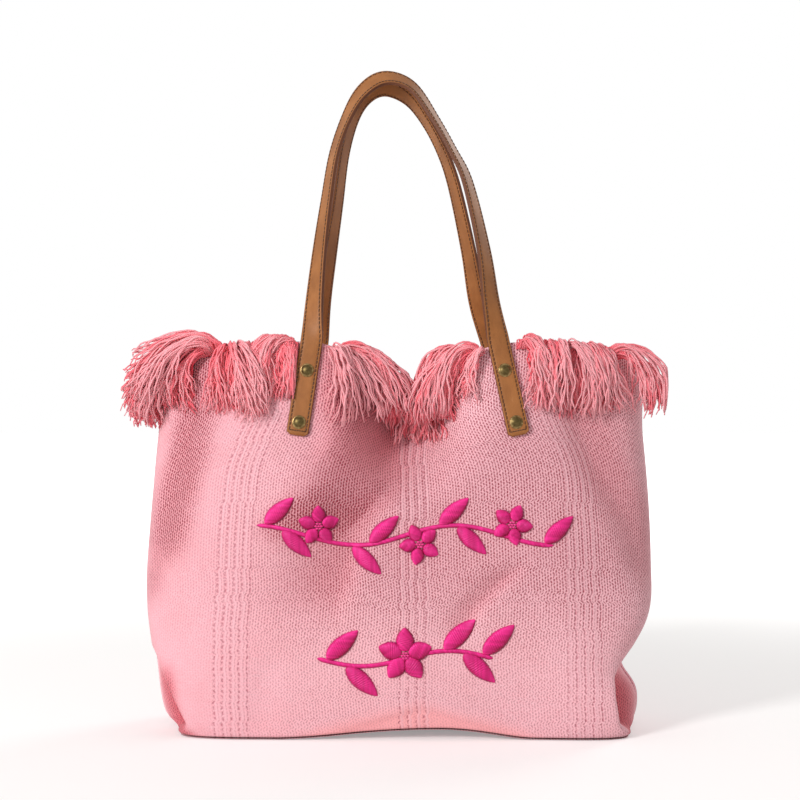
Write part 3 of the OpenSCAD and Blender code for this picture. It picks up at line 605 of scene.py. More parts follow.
def yarn_finish():
    """Soft twisted yarn: a spiral of plies down each strand, and a tone for each strand, partly its own and partly
    painted light and shade.
    """
    twist_length = 3.2
    deep, mid, pale, groove = (display(252, 84, 102), display(255, 130, 142), display(255, 181, 188),
                               display(244, 84, 100))
    f = Finish("fringe_yarn", 0.9, Sheen_Weight=0.12, Sheen_Roughness=0.5, Specular_IOR_Level=0.1)
    round_, along = f.cloth_axes()
    ply = f.wave(f.times(f.plus(round_, f.math("DIVIDE", along, twist_length)), 4 * np.pi))
    tone = f.attribute("tone")
    cloth = f.mix(f.step(tone, 0.0, 0.5), deep, mid)
    cloth = f.mix(f.step(tone, 0.5, 1.0), cloth, pale)
    # Painted shade: the grooves between the plies are tinted darker
    f.colour(f.mix(f.times(f.less(1.0, ply), 0.12), cloth, groove))
    f.bump(ply, 0.25, 0.7)
    return f.material


def leather_finish():
    """Tan strap leather: pebbled grain, darker in its pores, drifting in tone, scuffed along its length, with
    burnished painted edges."""
    dark, tan, pore, scuffed, painted = (display(141, 87, 42), display(163, 104, 54), display(128, 74, 40),
                                         display(203, 146, 98), display(98, 55, 32))
    f = Finish("tan_leather", 0.5, Coat_Weight=0.04, Coat_Roughness=0.35, Specular_IOR_Level=0.3)
    drift = f.noise(0.05, 0.03, 4)
    grain = f.noise(1, 1, 5, scale=1.1, rough=0.65)
    scuff = f.noise(0.35, 0.06, 3)
    pores = f.add("TexVoronoi", Vector=f.place("UV", (1.5, 1.5, 1)), Scale=1.0).outputs["Distance"]
    skin = f.mix(f.step(drift, 0.3, 0.7), dark, tan)
    skin = f.mix(f.times(f.step(grain, 0.52, 0.75), 0.35), skin, pore)
    skin = f.mix(f.times(f.step(scuff, 0.6, 0.8), 0.30), skin, scuffed)
    f.colour(f.mix(f.step(f.attribute("edge"), 0.25, 0.9), skin, painted))
    f.roughness(f.line(grain, 0.25, 0.42))
    f.bump(f.plus(f.times(pores, 0.6), grain), 0.12, 0.6)
    return f.material


def thread_finish(name, bright, dark, lustre, glow=(1, 1, 1, 1)):
    """Lustrous thread: each stitch has its own tone, darker where it goes into the cloth, with fine lines along it
    and a soft tinted shine. On the sprigs the tone also carries painted light, paler on the side of each shape that
    looks to the upper left."""
    line_pitch = 0.8
    f = Finish(name, 0.4, Sheen_Weight=0.3, Sheen_Roughness=0.3, Specular_IOR_Level=lustre, Specular_Tint=glow,
               Sheen_Tint=glow)
    _, along = f.cloth_axes()
    strand = f.wave(f.times(along, 2 * np.pi / line_pitch))
    drift = f.noise(0.25, 0.12, 2)
    own = f.line(f.attribute("thread"), 0.8, f.line(strand, 0.15, f.times(drift, 0.2)))
    f.colour(f.mix(own, dark, bright))
    f.bump(strand, 0.12, 0.6)
    return f.material


def metal_finish(name, bright, dark, roughness):
    """Cast metal with a drift of tarnish and fine scratches; a dome is dulled on its crown."""
    f = Finish(name, roughness, Metallic=1.0)
    tarnish = f.cloud(f.place("Object", (1 / MM,) * 3), 4, scale=0.45)
    scratch = f.cloud(f.place("Object", (3 / MM, 0.5 / MM, 0.5 / MM)), 3)
    metal = f.mix(f.step(tarnish, 0.35, 0.65), dark, bright)
    f.colour(f.mix(f.times(f.attribute("dome"), 0.8), metal, display(72, 62, 36)))
    f.roughness(f.line(tarnish, 0.25, roughness - 0.1))
    f.bump(f.plus(scratch, tarnish), 0.05, 0.5)
    return f.material


canvas = canvas_finish()
lining_cloth = plain_cloth_finish("cotton_lining", display(244, 226, 222), display(226, 200, 196), 0.9)
tape_cloth = plain_cloth_finish("zip_tape_weave", display(233, 160, 172), display(206, 120, 134), 1.2)
yarn = yarn_finish()
leather = leather_finish()
strap_thread = thread_finish("strap_thread", display(116, 72, 40), display(76, 44, 24), 0.3)
tape_thread = thread_finish("tape_thread", display(250, 214, 216), display(226, 168, 176), 0.3)
sprig_thread = thread_finish("sprig_thread", display(248, 46, 144), display(152, 2, 44), 0.8, (1, 0.32, 0.8, 1))
knot_thread = thread_finish("knot_thread", display(250, 92, 168), display(222, 40, 128), 0.5)
brass = metal_finish("aged_brass", display(150, 126, 84), display(104, 84, 52), 0.36)
steel = metal_finish("bright_steel", display(205, 205, 208), display(160, 160, 165), 0.28)
teeth = metal_finish("zip_tooth_brass", display(212, 178, 118), display(164, 128, 76), 0.35)


# ---------------------------------------------------------------- camera, floor and light


def make_camera():
    """Looks level at the bag's upper half along +Y, from three and a half of its widths away."""
    data = bpy.data.cameras.new("camera")
    data.lens, data.sensor_width = 75.0, 36.0
    data.clip_start, data.clip_end = 0.05, 50
    made = bpy.data.objects.new("camera", data)
    made.location = (-0.0045, -1.575, 0.306)
    made.rotation_euler = (np.pi / 2, 0, 0)
    bpy.context.scene.collection.objects.link(made)
    bpy.context.scene.camera = made


def make_floor():
    """A pale floor disc that keeps the shadow. To the camera it glows a little, and more with the distance from
    the bag, so that it meets the white behind."""
    material = bpy.data.materials.new("pale_floor")
    material.use_nodes = True
    g = Graph(material.node_tree)
    reach = g.add("VectorMath", dict(operation="LENGTH"))
    g.put(reach.inputs[0], g.add("TexCoord").outputs["Object"])
    far = g.step(reach.outputs["Value"], 0.5, 2.2, 0.28, 0.95)
    glow = g.add("Emission", Strength=g.times(g.seen_by("Is Glossy Ray"), far))
    paint = g.add("BsdfDiffuse", Color=(0.82, 0.81, 0.80, 1))
    both = g.add("AddShader")
    g.put(both.inputs[0], paint.outputs[0])
    g.put(both.inputs[1], glow.outputs[0])
    g.add("OutputMaterial", Surface=both.outputs[0])

    count = 96
    angle = np.linspace(0, 2 * np.pi, count, endpoint=False)
    radius = np.array([0.001, 400, 1500, 6000, 14000])[:, None]
    rings = np.stack(np.broadcast_arrays(radius * np.cos(angle), radius * np.sin(angle), -0.4), -1)
    made = piece("floor", rings, grid_faces(len(radius), count, closed=True), material, body=None, flip=True)


def make_light():
    """An even warm-white room that the camera and shiny things see as plain white, one large soft lamp from the
    upper left in front, and a weaker one from the right behind."""
    world = bpy.data.worlds.new("room")
    bpy.context.scene.world = world
    world.use_nodes = True
    g = Graph(world.node_tree)
    room = g.add("Background", Color=(1.0, 0.985, 0.975, 1), Strength=0.54)
    white = g.add("Background", Color=(1, 1, 1, 1), Strength=1.0)
    blend = g.add("MixShader")
    g.put(blend.inputs[0], g.seen_by("Is Glossy Ray", "Is Transmission Ray"))
    g.put(blend.inputs[1], room.outputs[0])
    g.put(blend.inputs[2], white.outputs[0])
    g.add("OutputWorld", Surface=blend.outputs[0])
    for name, spot, size, power in (("key", (-2.2, -2.5, 1.5), 0.8, 80.0), ("rim", (1.9, 2.3, 1.8), 1.6, 26.0)):
        data = bpy.data.lights.new(name, "AREA")
        data.shape, data.size, data.energy = "DISK", size, power
        made = bpy.data.objects.new(name, data)
        made.location = spot
        aim = Vector((0, 0, 0.22)) - made.location
        made.rotation_euler = aim.to_track_quat("-Z", "Y").to_euler()
        bpy.context.scene.collection.objects.link(made)


# ---------------------------------------------------------------- canvas, lining and base


def canvas_wall(side, name, replaced):
    """One canvas side in one sheet: up the outside, over the mouth's edge in a half round, and a hem's width down
    inside. Below, it turns under the foot in a quarter of an oval."""
    columns = 300
    shares = np.concatenate([np.linspace(0.004, 0.03, 5)[:-1], np.linspace(0.03, 1, 150)])
    outside = wall(side, shares, columns)
    along = np.gradient(outside, axis=1)
    outwards = unit(np.cross(along, [0, 0, -side]) * np.array([1, 1, 0]))
    rise = np.array([0, 0, 1.0])

    turn = np.radians([80, 60, 40, 20])[:, None, None]
    under = outside[0] - outwards[0] * FOOT_IN * (1 - np.cos(turn)) - rise * FOOT_DOWN * np.sin(turn)
    turn = np.radians([25, 55, 90, 125, 155, 180])[:, None, None]
    over = outside[-1] - outwards[-1] * RIM_ROUND * (1 - np.cos(turn)) + rise * RIM_ROUND * np.sin(turn)
    hem = wall(side, 1 - HEM_ROWS / CLOTH_HEIGHT, columns, inset=2 * RIM_ROUND)
    points = np.concatenate([under, outside, over, hem])
    run = np.concatenate([[-0.020, -0.015, -0.010, -0.005], shares, 1 + np.linspace(0.002, 0.017, 6),
                          1.02 + HEM_ROWS / CLOTH_HEIGHT])
    piece(name, points, grid_faces(len(points), columns), canvas, slot="canvas", replaces=replaced,
          uv=cloth_uv(points, run), flip=side > 0, **painted_shade_and_bounce(points))


def lining_wall(side, name, replaced):
    """The lining of one side, inside the canvas by its thickness and a gap, from the floor to under the hem."""
    rows, columns = 90, 150
    shares = np.linspace(0.012, 0.972, rows)
    points = wall(side, shares, columns, inset=LINING_INSET)
    piece(name, points, grid_faces(rows, columns), lining_cloth, slot="lining", replaces=replaced,
          uv=cloth_uv(points, shares), flip=side < 0)


def base_sheet(name, height, inset, material, slot, replaced, facing):
    """The floor of the bag: between the two walls' foot lines, point for point, and lifted by the arch."""
    rows, columns = 40, 120
    front = wall(FRONT, [0.004], columns, inset)[0]
    back = wall(BACK, [0.004], columns, inset)[0]
    points = front + (back - front) * np.linspace(0, 1, rows)[:, None, None]
    points[..., 2] = arch_height(points[..., 0]) + height
    piece(name, points, grid_faces(rows, columns), material, slot=slot, replaces=replaced,
          uv=points[..., :2], flip=facing < 0)


def side_seam(x_way, name, replaced):
    """The welt where front and back are sewn: an oval ridge carried up the side at y = 0."""
    rows, sides, out, wide = 150, 14, 2.0, 3.0
    shares = np.linspace(0.008, 0.995, rows)[:, None]
    x = x_way * (side_reach(shares, x_way) - 0.4)
    z = height_at(x, shares)
    turn = np.linspace(0, 2 * np.pi, sides, endpoint=False)
    rings = np.stack(np.broadcast_arrays(x + x_way * out * np.cos(turn), wide * np.sin(turn), z), -1)
    rings[0], rings[-1] = rings[0].mean(0), rings[-1].mean(0)
    uv = np.stack(np.broadcast_arrays(turn * 2.2 + 40, z), -1)
    piece(name, rings, grid_faces(rows, sides, closed=True), canvas, slot="canvas", replaces=replaced,
          uv=uv, flip=x_way < 0, weld=True)


# ---------------------------------------------------------------- yarn, thread and stitches


def strands(lines, radii, sides, across=(0.15, 1.0, 0.1)):
    """Carries a round section along many lines at once. At each point the section's corners lie on a circle square
    to the line, at even angles from a direction square to both the line and a fixed axis. Both ends are closed.
    Returns the points, the faces, and a UV of turns round and millimetres along."""
    count, long = lines.shape[:2]
    along = unit(np.gradient(lines, axis=1))
    beside = unit(np.cross(along, np.array(across)))
    above = np.cross(beside, along)
    turn = 2 * np.pi * np.arange(sides) / sides
    circle = np.cos(turn)[:, None] * beside[:, :, None] + np.sin(turn)[:, None] * above[:, :, None]
    points = lines[:, :, None] + np.broadcast_to(radii, (count, long))[..., None, None] * circle
    stride = long * sides
    ring = np.arange(sides)[None]
    walls = copies(grid_faces(long, sides, closed=True), count, stride)
    ends = [copies(ring[:, ::-1], count, stride), copies(ring + stride - sides, count, stride)]
    faces = walls.tolist() + ends[0].tolist() + ends[1].tolist()
    uv = np.stack(np.broadcast_arrays(np.arange(sides) / sides, running(lines, 1)[:, :, None]), -1)
    return points.reshape(-1, 3), faces, uv.reshape(-1, 2)


def bunch(roots, tufts, leans, lengths, arches, bows, turn=1.7, pale=0.0, each=25, droop=0.34,
          limits=(FRINGE_LEFT, FRINGE_RIGHT), loose=1.0):
    """One bunch of the fringe, by its driving values: those in pairs run from its first tuft to its last. It has so
    many tufts of so many strands each; leans are in degrees from straight down, and limits are how far left and
    right a strand may reach."""
    return dict(roots=roots, tufts=tufts, leans=leans, lengths=lengths, arches=arches, bows=bows, turn=turn,
                pale=pale, strands=each, droop=droop, limits=limits, loose=loose)


def bunch_lines(side, b):
    """The strands of one bunch of the fringe, and their tones. From its root on the mouth's edge a strand runs
    sideways by its lean, fast and then slower by a power; it rises over an arch, falls with the power 1.28 of the
    way, and droops further the more it leans; and it stands out from the cloth in a bow. Strands of one tuft share
    their way, wander and crimp by sines of the way, and part towards their tips. A strand hangs no deeper than a
    share of its root's own depth, so it doesn't sink into the pinch."""
    tufts, each = b["tufts"], b["strands"]
    share = (np.arange(tufts) + 0.5) / tufts
    of = np.repeat(np.arange(tufts), each)
    full_turn, points_along = 2 * np.pi, 17
    strap_zone, opening = 150, 0.15

    def tuft_draw(low, high):
        """One draw for each tuft, given to all its strands."""
        return DRAWS.uniform(low, high, tufts)[of][:, None]

    def own_draw(low, high):
        """One draw for each strand."""
        return DRAWS.uniform(low, high, tufts * each)[:, None]

    def over(key):
        """A driving value for each strand, by its tuft's place in the bunch."""
        start, stop = b[key]
        return (start + (stop - start) * share)[of][:, None]

    # The draws are made in one fixed order, tuft by tuft and then strand by strand
    s = np.linspace(0, 1, points_along)[None, :]
    tuft_layer = (np.arange(tufts) % 2 * 0.62)[of][:, None] + tuft_draw(-0.12, 0.38)
    layer = np.clip(tuft_layer + own_draw(-0.22, 0.22), 0, 1)
    root = over("roots") + tuft_draw(-2.5, 2.5) + own_draw(-3.6, 3.6) * (1 - 0.5 * s)
    lean = over("leans") + tuft_draw(-12, 12) + own_draw(-4, 4)
    lean = np.radians(lean + b["loose"] * own_draw(-15, 15) * s ** 1.5)
    length = over("lengths") * (1.04 + tuft_draw(-0.16, 0.08) - 0.42 * own_draw(0, 1) ** 2.5)
    arch = over("arches") * (0.55 + 0.60 * layer + tuft_draw(-0.15, 0.15)) + own_draw(-1.5, 2.5)
    arch = np.maximum(arch, 0.5)
    bow = over("bows") * (0.25 + 0.75 * layer) + tuft_draw(-1.0, 2.5)

    x = root + np.sin(lean) * length * (1 - (1 - s) ** b["turn"])
    z = rim_height(root) - 1.5 + own_draw(-3.0, 1.5) + arch * np.sin(np.pi * s ** 0.62) * (1 - 0.35 * s)
    z = z - np.cos(lean) * length * s ** 1.28 - b["droop"] * length * np.sin(lean) ** 2 * s ** 2.2
    proud = 0.9 + bow * np.sin(np.pi * (0.08 + 0.80 * s ** 0.7)) + layer * 3.5 * smooth(s / 0.15)

    swing, phase = own_draw(0.7, 1.7), own_draw(0, 6.3)
    crimp, crimp_phase = own_draw(3.0, 4.6), own_draw(0, 6.3)
    grow = s ** 0.8
    sway = 4.2 * np.sin(full_turn * 0.8 * s + tuft_draw(0, 6.3)) + 2.6 * np.sin(full_turn * swing * s + phase)
    x = x + grow * (sway + 1.1 * b["loose"] * np.sin(full_turn * crimp * s + crimp_phase))
    left, right = b["limits"][0] + own_draw(0, 8), b["limits"][1] - own_draw(0, 5)
    # Beside a strap, the limit draws away from the leather further down
    if abs(b["limits"][0]) < strap_zone:
        left = left + opening * (RIM_HEIGHT - z)
    if abs(b["limits"][1]) < strap_zone:
        right = right - opening * (RIM_HEIGHT - z)
    x = x - 0.8 * np.maximum(x - right, 0) - 0.8 * np.minimum(x - left, 0)
    z = z + 1.2 * grow * np.sin(full_turn * (crimp + 0.4) * s + phase) * np.abs(np.sin(lean))
    proud = proud + 2.0 * s * np.sin(full_turn * swing * s + phase + 1.7)
    proud = proud + 0.8 * grow * np.sin(full_turn * crimp * s + crimp_phase + 1.6)

    y, _, _ = wall_depth(x, share_at(x, np.clip(z, 0, rim_height(x) - 1.0)), side)
    at_root, _, _ = wall_depth(root, share_at(root, rim_height(root) - 14.0), side)
    y = np.maximum(y, (0.95 - 0.2 * s) * at_root)
    lift = np.maximum(0, z - rim_height(x)) * 0.15
    points = np.stack([x, side * (y + np.maximum(proud, 1.0) - lift), z], -1)
    # The tone is partly random and partly painted: paler on the upper layer as painted light, darker on the lower
    # layer and at the roots as painted shade, and paler towards the tips; a bunch's pale share also lifts bunches
    # that the lamps leave dark, as painted light
    tone = 0.22 + b["pale"] + 0.52 * layer + tuft_draw(-0.08, 0.14) + own_draw(-0.16, 0.18)
    return points, np.clip(tone + 0.18 * s - 0.22 * (1 - s) ** 3, 0, 1)


def fringe(side, name, bunches, replaced):
    """One stretch of the fringe, from its bunches, as closed four-sided strands that taper at their tips."""
    sides = 4
    made = [bunch_lines(side, b) for b in bunches]
    lines, tone = (np.concatenate([m[k] for m in made]) for k in (0, 1))
    taper = 1 - 0.45 * np.linspace(0, 1, lines.shape[1]) ** 6
    radii = DRAWS.uniform(0.78, 1.15, (len(lines), 1)) * YARN_RADIUS * taper
    points, faces, uv = strands(lines, radii, sides)
    piece(name, points, faces, yarn, slot="fringe", replaces=replaced, uv=uv,
          tone=np.repeat(tone, sides, axis=1))


# ---------------------------------------------------------------- straps


# Each handle's course, as shares of its half width across and of its rise
FRONT_LOOP = ((-1, 0), (-.98, .14), (-.93, .33), (-.86, .52), (-.77, .71), (-.60, .87), (-.43, .955),
              (-.21, .995), (.08, .96), (.34, .83), (.53, .71), (.69, .59), (.86, .33), (.93, .14), (1, 0))
BACK_LOOP = ((-1, 0), (-.95, .16), (-.86, .35), (-.77, .54), (-.69, .73), (-.57, .875), (-.42, .95),
             (-.22, .975), (.02, .94), (.20, .87), (.39, .76), (.55, .62), (.73, .36), (.84, .16), (1, 0))


def through(knots, steps):
    """A smooth curve through the knots: the Catmull-Rom cubic of each four in turn."""
    k = np.asarray(knots, float)
    k = np.concatenate([2 * k[:1] - k[1:2], k, 2 * k[-1:] - k[-2:-1]])
    a, b, c, d = k[:-3, None], k[1:-2, None], k[2:-1, None], k[3:, None]
    u = np.linspace(0, 1, steps, endpoint=False)[None, :, None]
    path = 0.5 * (2 * b + (c - a) * u + (2 * a - 5 * b + 4 * c - d) * u ** 2 + (3 * b - a - 3 * c + d) * u ** 3)
    return np.concatenate([path.reshape(-1, k.shape[1]), k[-2:-1]])


def tab_course(x_way, lean):
    """The middle line of one riveted strap end, from its free end up, and its outward way there: square to the
    cloth under it, turned halfway back to the front."""
    drop = np.linspace(STRAP_END, 3.0, 36)
    x = x_way * (HANDLE_HALF + drop * np.tan(np.radians(lean)))
    z = BEND_HEIGHT - drop
    line = on_wall(x, z, proud=STRAP_THICK / 2 + 0.3)
    across = on_wall(x + 4, z) - on_wall(x - 4, z)
    facing = unit(np.cross(unit(across), unit(np.gradient(line, axis=0))))
    return line, unit(facing * np.array([0.5, 1, 0.6]))


def strap_course(side, knots):
    """A strap's middle line, its outward way and its across way: up one strap end on the cloth, round the loop and
    down the other, at even steps, and lightly smoothed. In the loop the outward way turns about the line by a
    bell-like angle, so that the two runs show their edges at the top."""
    loop = through(knots, 12)
    share = np.linspace(0, 1, len(loop))
    y = LOOP_FOOT_Y + (LOOP_TOP_Y - LOOP_FOOT_Y) * np.clip(loop[:, 1], 0, 1) ** 0.9
    line = np.stack([loop[:, 0] * HANDLE_HALF, y, BEND_HEIGHT + 0.15 + HANDLE_RISE * loop[:, 1]], -1)
    along = unit(np.gradient(line, axis=0))
    turn = np.radians(78 * np.sin(np.pi * share) ** 0.45 - 34 * hill(share - 0.47, 0.13))[:, None]
    beside = unit(np.cross([0, -1.0, 0], along))
    normal = np.cos(turn) * np.cross(along, beside) + np.sin(turn) * beside
    normal[0] = normal[-1] = (0, -1, 0)

    left, right = tab_course(-1, LEFT_LEAN), tab_course(1, RIGHT_LEAN)
    line = np.concatenate([left[0], line, right[0][::-1]])
    normal = np.concatenate([left[1], normal, right[1][::-1]])
    run = running(line, 0)
    at = np.linspace(0, run[-1], int(run[-1] / STRAP_STEP))
    line, normal = read_at(at, run, line), read_at(at, run, normal)
    soft = np.array([1, 2, 3, 2, 1]) / 9.0
    for _ in range(2):
        for rows in (line, normal):
            rows[2:-2] = np.stack([np.convolve(rows[:, k], soft, "valid") for k in range(3)], -1)
    along = unit(np.gradient(line, axis=0))
    normal = unit(normal - (normal * along).sum(-1, keepdims=True) * along)
    wide = np.cross(along, normal)
    if side > 0:
        flip = np.array([1, -1, 1.0])
        line, normal, wide = line * flip, normal * flip, wide * flip
    return line, normal, wide, at


def bend(made):
    """Bakes the placement of a strap's piece into its points."""
    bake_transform(made)


def strap(side, name, knots, replaced):
    """Two leathers glued back to back: a flat section with crowned faces, a pressed groove where the stitches lie,
    and a glue line round its edge, carried along the strap's course; its ends are rounded off."""
    line, normal, wide, at = strap_course(side, knots)
    half, total = STRAP_WIDTH / 2, at[-1]
    shares = np.array([-1, -.985, -.95, -.90, -.85, -.80, -.76, -.72, -.66, -.45, -.15])
    shares = np.concatenate([shares, -shares[::-1]])
    across, off = half * shares, np.abs(shares)
    face = STRAP_THICK / 2 * (0.62 + 0.38 * np.clip(1 - off ** 14, 0, 1) ** 0.5) + 0.12 * (1 - off ** 2)
    face = face - 0.30 * hill(np.abs(across) - (half - STITCH_INSET), 0.75)
    lip, glue_line, lip_height = half + 0.05, half - 0.28, 0.75
    ring_w = np.concatenate([across, [lip, glue_line, lip], across[::-1], [-lip, -glue_line, -lip]])
    ring_n = np.concatenate([face, [lip_height, 0, -lip_height], -face[::-1], [-lip_height, 0, lip_height]])
    painted = smooth((off - 0.93) / 0.05)
    edge = np.concatenate([painted, [1, 1, 1], painted[::-1], [1, 1, 1]])

    from_end = np.minimum(at, total - at)
    corner = np.clip(STRAP_CORNER - from_end, 0, STRAP_CORNER) / STRAP_CORNER
    narrow = 0.64 + 0.36 * np.sqrt(np.clip(1 - corner ** 2, 0, 1))
    thin = np.where(from_end < 1e-6, 0.55, 1.0)
    rings = line[:, None] + wide[:, None] * (ring_w[:, None] * narrow[:, None, None])
    rings = closed_ends(rings + normal[:, None] * (ring_n[:, None] * thin[:, None, None]))
    run = np.concatenate([[0], at, [total]])[:, None]
    uv = np.stack(np.broadcast_arrays(ring_w + np.where(ring_n < 0, 60, 0), run), -1)
    bend(piece(name, rings, grid_faces(*rings.shape[:2], closed=True), leather, body=None, slot="leather", uv=uv,
               weld=True, edge=np.broadcast_to(edge, rings.shape[:2]), flip=side < 0, replaces=replaced))

    # The stitches: low arcs in a row along each edge of both faces, and one row across each end
    dip = 0.42 * np.cos(np.linspace(-1, 1, 5) * 1.25)[:, None]
    number = np.arange(int((total - 8) / STITCH_PITCH))[:, None] + 0.5
    s = 4.0 + STITCH_PITCH * (number + np.linspace(-0.36, 0.36, 5))
    spot, out, beside = (read_at(s, at, v) for v in (line, normal, wide))
    slant = np.linspace(-0.25, 0.25, 5)[:, None]
    rows = []
    for x_way in (-1, 1):
        for out_way in (1, -1):
            rows.append(spot + beside * (x_way * (half - STITCH_INSET) + slant)
                        + out * out_way * (STRAP_THICK / 2 - 0.25 + dip))
    w = (np.arange(-3, 4)[:, None] * 2.15 + np.linspace(-0.75, 0.75, 5))[..., None]
    for start in (4.2, total - 4.2):
        spot, out, beside = (read_at(start, at, v) for v in (line, normal, wide))
        rows.append(spot + beside * w + out * (STRAP_THICK / 2 - 0.15 + dip))
    points, faces, uv = strands(np.concatenate(rows), 0.5, 5, across=(0.3, 1.0, 0.2))
    bend(piece(name + "_stitches", points, faces, strap_thread, body=None, slot="leather", uv=uv))


def rivets(side, x_way, name, replaced):
    """Two domed caps: a profile of radius and height, turned about the cloth's outward way where the cap lies. The
    worn rim is bright and the dome is tarnished."""
    lean = np.radians(LEFT_LEAN if x_way < 0 else RIGHT_LEAN)
    radius = np.array([0, .17, .34, .50, .64, .75, .82, .87, .92, .97, 1.0, .99, .94])
    height = np.array([1.0, .98, .91, .80, .65, .48, .36, .30, .30, .25, .13, .02, -.15]) * RIVET_RISE
    rows, columns = len(radius), 40
    turn = np.linspace(0, 2 * np.pi, columns, endpoint=False)[None, :, None]
    points = []
    for drop in RIVET_DROPS:
        x, z = np.array(x_way * (HANDLE_HALF + drop * np.tan(lean))), np.array(BEND_HEIGHT - drop)
        centre = on_wall(x, z, proud=STRAP_THICK + 0.25, side=side)
        across = unit(on_wall(x + 4.0, z, side=side) - on_wall(x - 4.0, z, side=side))
        rise = unit(on_wall(x, z + 4.0, side=side) - on_wall(x, z - 4.0, side=side))
        out = unit(np.cross(across, rise) * -side)
        circle = np.cos(turn) * across + np.sin(turn) * np.cross(out, across)
        points.append(centre + circle * radius[:, None, None] * RIVET_CAP / 2 + out * height[:, None, None])
    crown = np.broadcast_to(smooth((0.86 - radius) / 0.2)[:, None], (len(points), rows, columns))
    faces = copies(grid_faces(rows, columns, closed=True), len(points), rows * columns)
    piece(name, np.array(points), faces, brass, slot="brass", replaces=replaced, weld=True, flip=True, dome=crown)


# ---------------------------------------------------------------- embroidery


def stitch_tone(phase, shape, c, painted_light_side):
    """A tone of its own for each stitch: the far digits of a sine of its number; less towards the shape's edges, and
    paler across the shape to the side that looks to the upper left, towards the lamp: painted light."""
    own = np.abs(np.sin(np.floor(phase) * 12.9898 + shape * 78.233) * 43758.5453) % 1.0
    return 0.32 + 0.50 * own - 0.55 * np.abs(c) ** 4 + 0.55 * painted_light_side * c


def satin(feet, tips, half_widths, rise, slant):
    """Many raised satin shapes at once. Each runs from a foot to a tip; its edge is half its width times a sine of
    the way to the power 0.8, flattened by the power 0.7; its top is a half-round dome, ribbed by slanted threads:
    the size of a sine of the way in thread pitches plus the slant across. The underside lies just in the cloth."""
    pitch, long, wide, under = 2.0, 110, 11, 3
    feet, tips = np.asarray(feet, float), np.asarray(tips, float)
    halves = np.asarray(half_widths, float)[:, None, None]
    way = tips - feet
    length = np.linalg.norm(way, axis=-1)[:, None, None]
    s = np.linspace(0, 1, long)[:, None]
    out = np.sin(np.pi * s ** 0.8) ** 0.7
    out[0] = out[-1] = 0
    c = np.linspace(-1, 1, wide)
    phase = (s * length + slant * c * out * halves) / pitch
    ribs = np.abs(np.sin(np.pi * phase)) ** 0.7
    dome = np.sqrt(np.clip(1 - c ** 2, 0, 1)) ** 0.8 * out ** 0.6
    top = rise * dome * (0.72 + 0.40 * ribs) + 0.10
    beside = np.stack([-way[:, 1], way[:, 0]], -1) / length[:, 0]
    spread = c * out * halves * (1 + 0.10 * (ribs - 0.5))
    flat = (feet[:, None, None] + way[:, None, None] * s[..., None]
            + beside[:, None, None] * spread[..., None])
    # Painted light: how far each shape's side looks to the upper left, towards the lamp
    painted_light_side = (beside @ np.array([-0.6, 0.8]))[:, None, None]
    tone = stitch_tone(phase, np.arange(len(feet))[:, None, None], c, painted_light_side)

    def round_trip(v):
        """Over the top, and back under it by every third column."""
        return np.concatenate([v, v[:, :, ::-1][:, :, 1:-1][:, :, ::3]], axis=2)

    ring = round_trip(flat)
    proud = np.concatenate([top, np.full(top.shape[:2] + (under,), -0.6)], axis=2)
    proud[:, 0] = proud[:, -1] = -0.3
    uv = np.stack(np.broadcast_arrays(round_trip(spread), s * length), -1)
    faces = copies(grid_faces(long, wide + under, closed=True), len(feet), long * (wide + under))
    points = on_wall(ring[..., 0], ring[..., 1], proud)
    return points.reshape(-1, 3), faces, uv.reshape(-1, 2), round_trip(tone).ravel()


def satin_stem(width, height_of):
    """The wavy stem: a ribbed half-round ridge that tapers at both ends, carried along the wave."""
    rows, over = 420, 7
    f = np.linspace(-0.5, 0.5, rows)[:, None]
    x, z = f * width, height_of(f)
    slope = np.gradient(z[:, 0], x[:, 0])[:, None]
    steep = np.hypot(1, slope)
    c = np.concatenate([np.linspace(-1, 1, over), [0.5, -0.5]])
    rise = np.concatenate([np.sqrt(1 - np.linspace(-1, 1, over) ** 2), [-0.3, -0.3]])
    taper = np.clip(np.minimum(f + 0.5, 0.5 - f) * 40, 0, 1) ** 0.5
    along = x - x[0]
    phase = along / 2.0 + 0.8 * c
    ribs = np.abs(np.sin(np.pi * phase)) ** 0.7
    off = c * STEM_WIDTH / 2
    points = on_wall(x - slope / steep * off * taper, z + off * taper / steep, rise * taper * (1.1 + 0.6 * ribs))
    uv = np.stack(np.broadcast_arrays(off, along), -1)
    faces = grid_faces(rows, len(c), closed=True)
    # Painted light: the stem's upper half is painted paler
    return points.reshape(-1, 3), faces, uv.reshape(-1, 2), stitch_tone(phase, 99, c, 0.8).ravel()


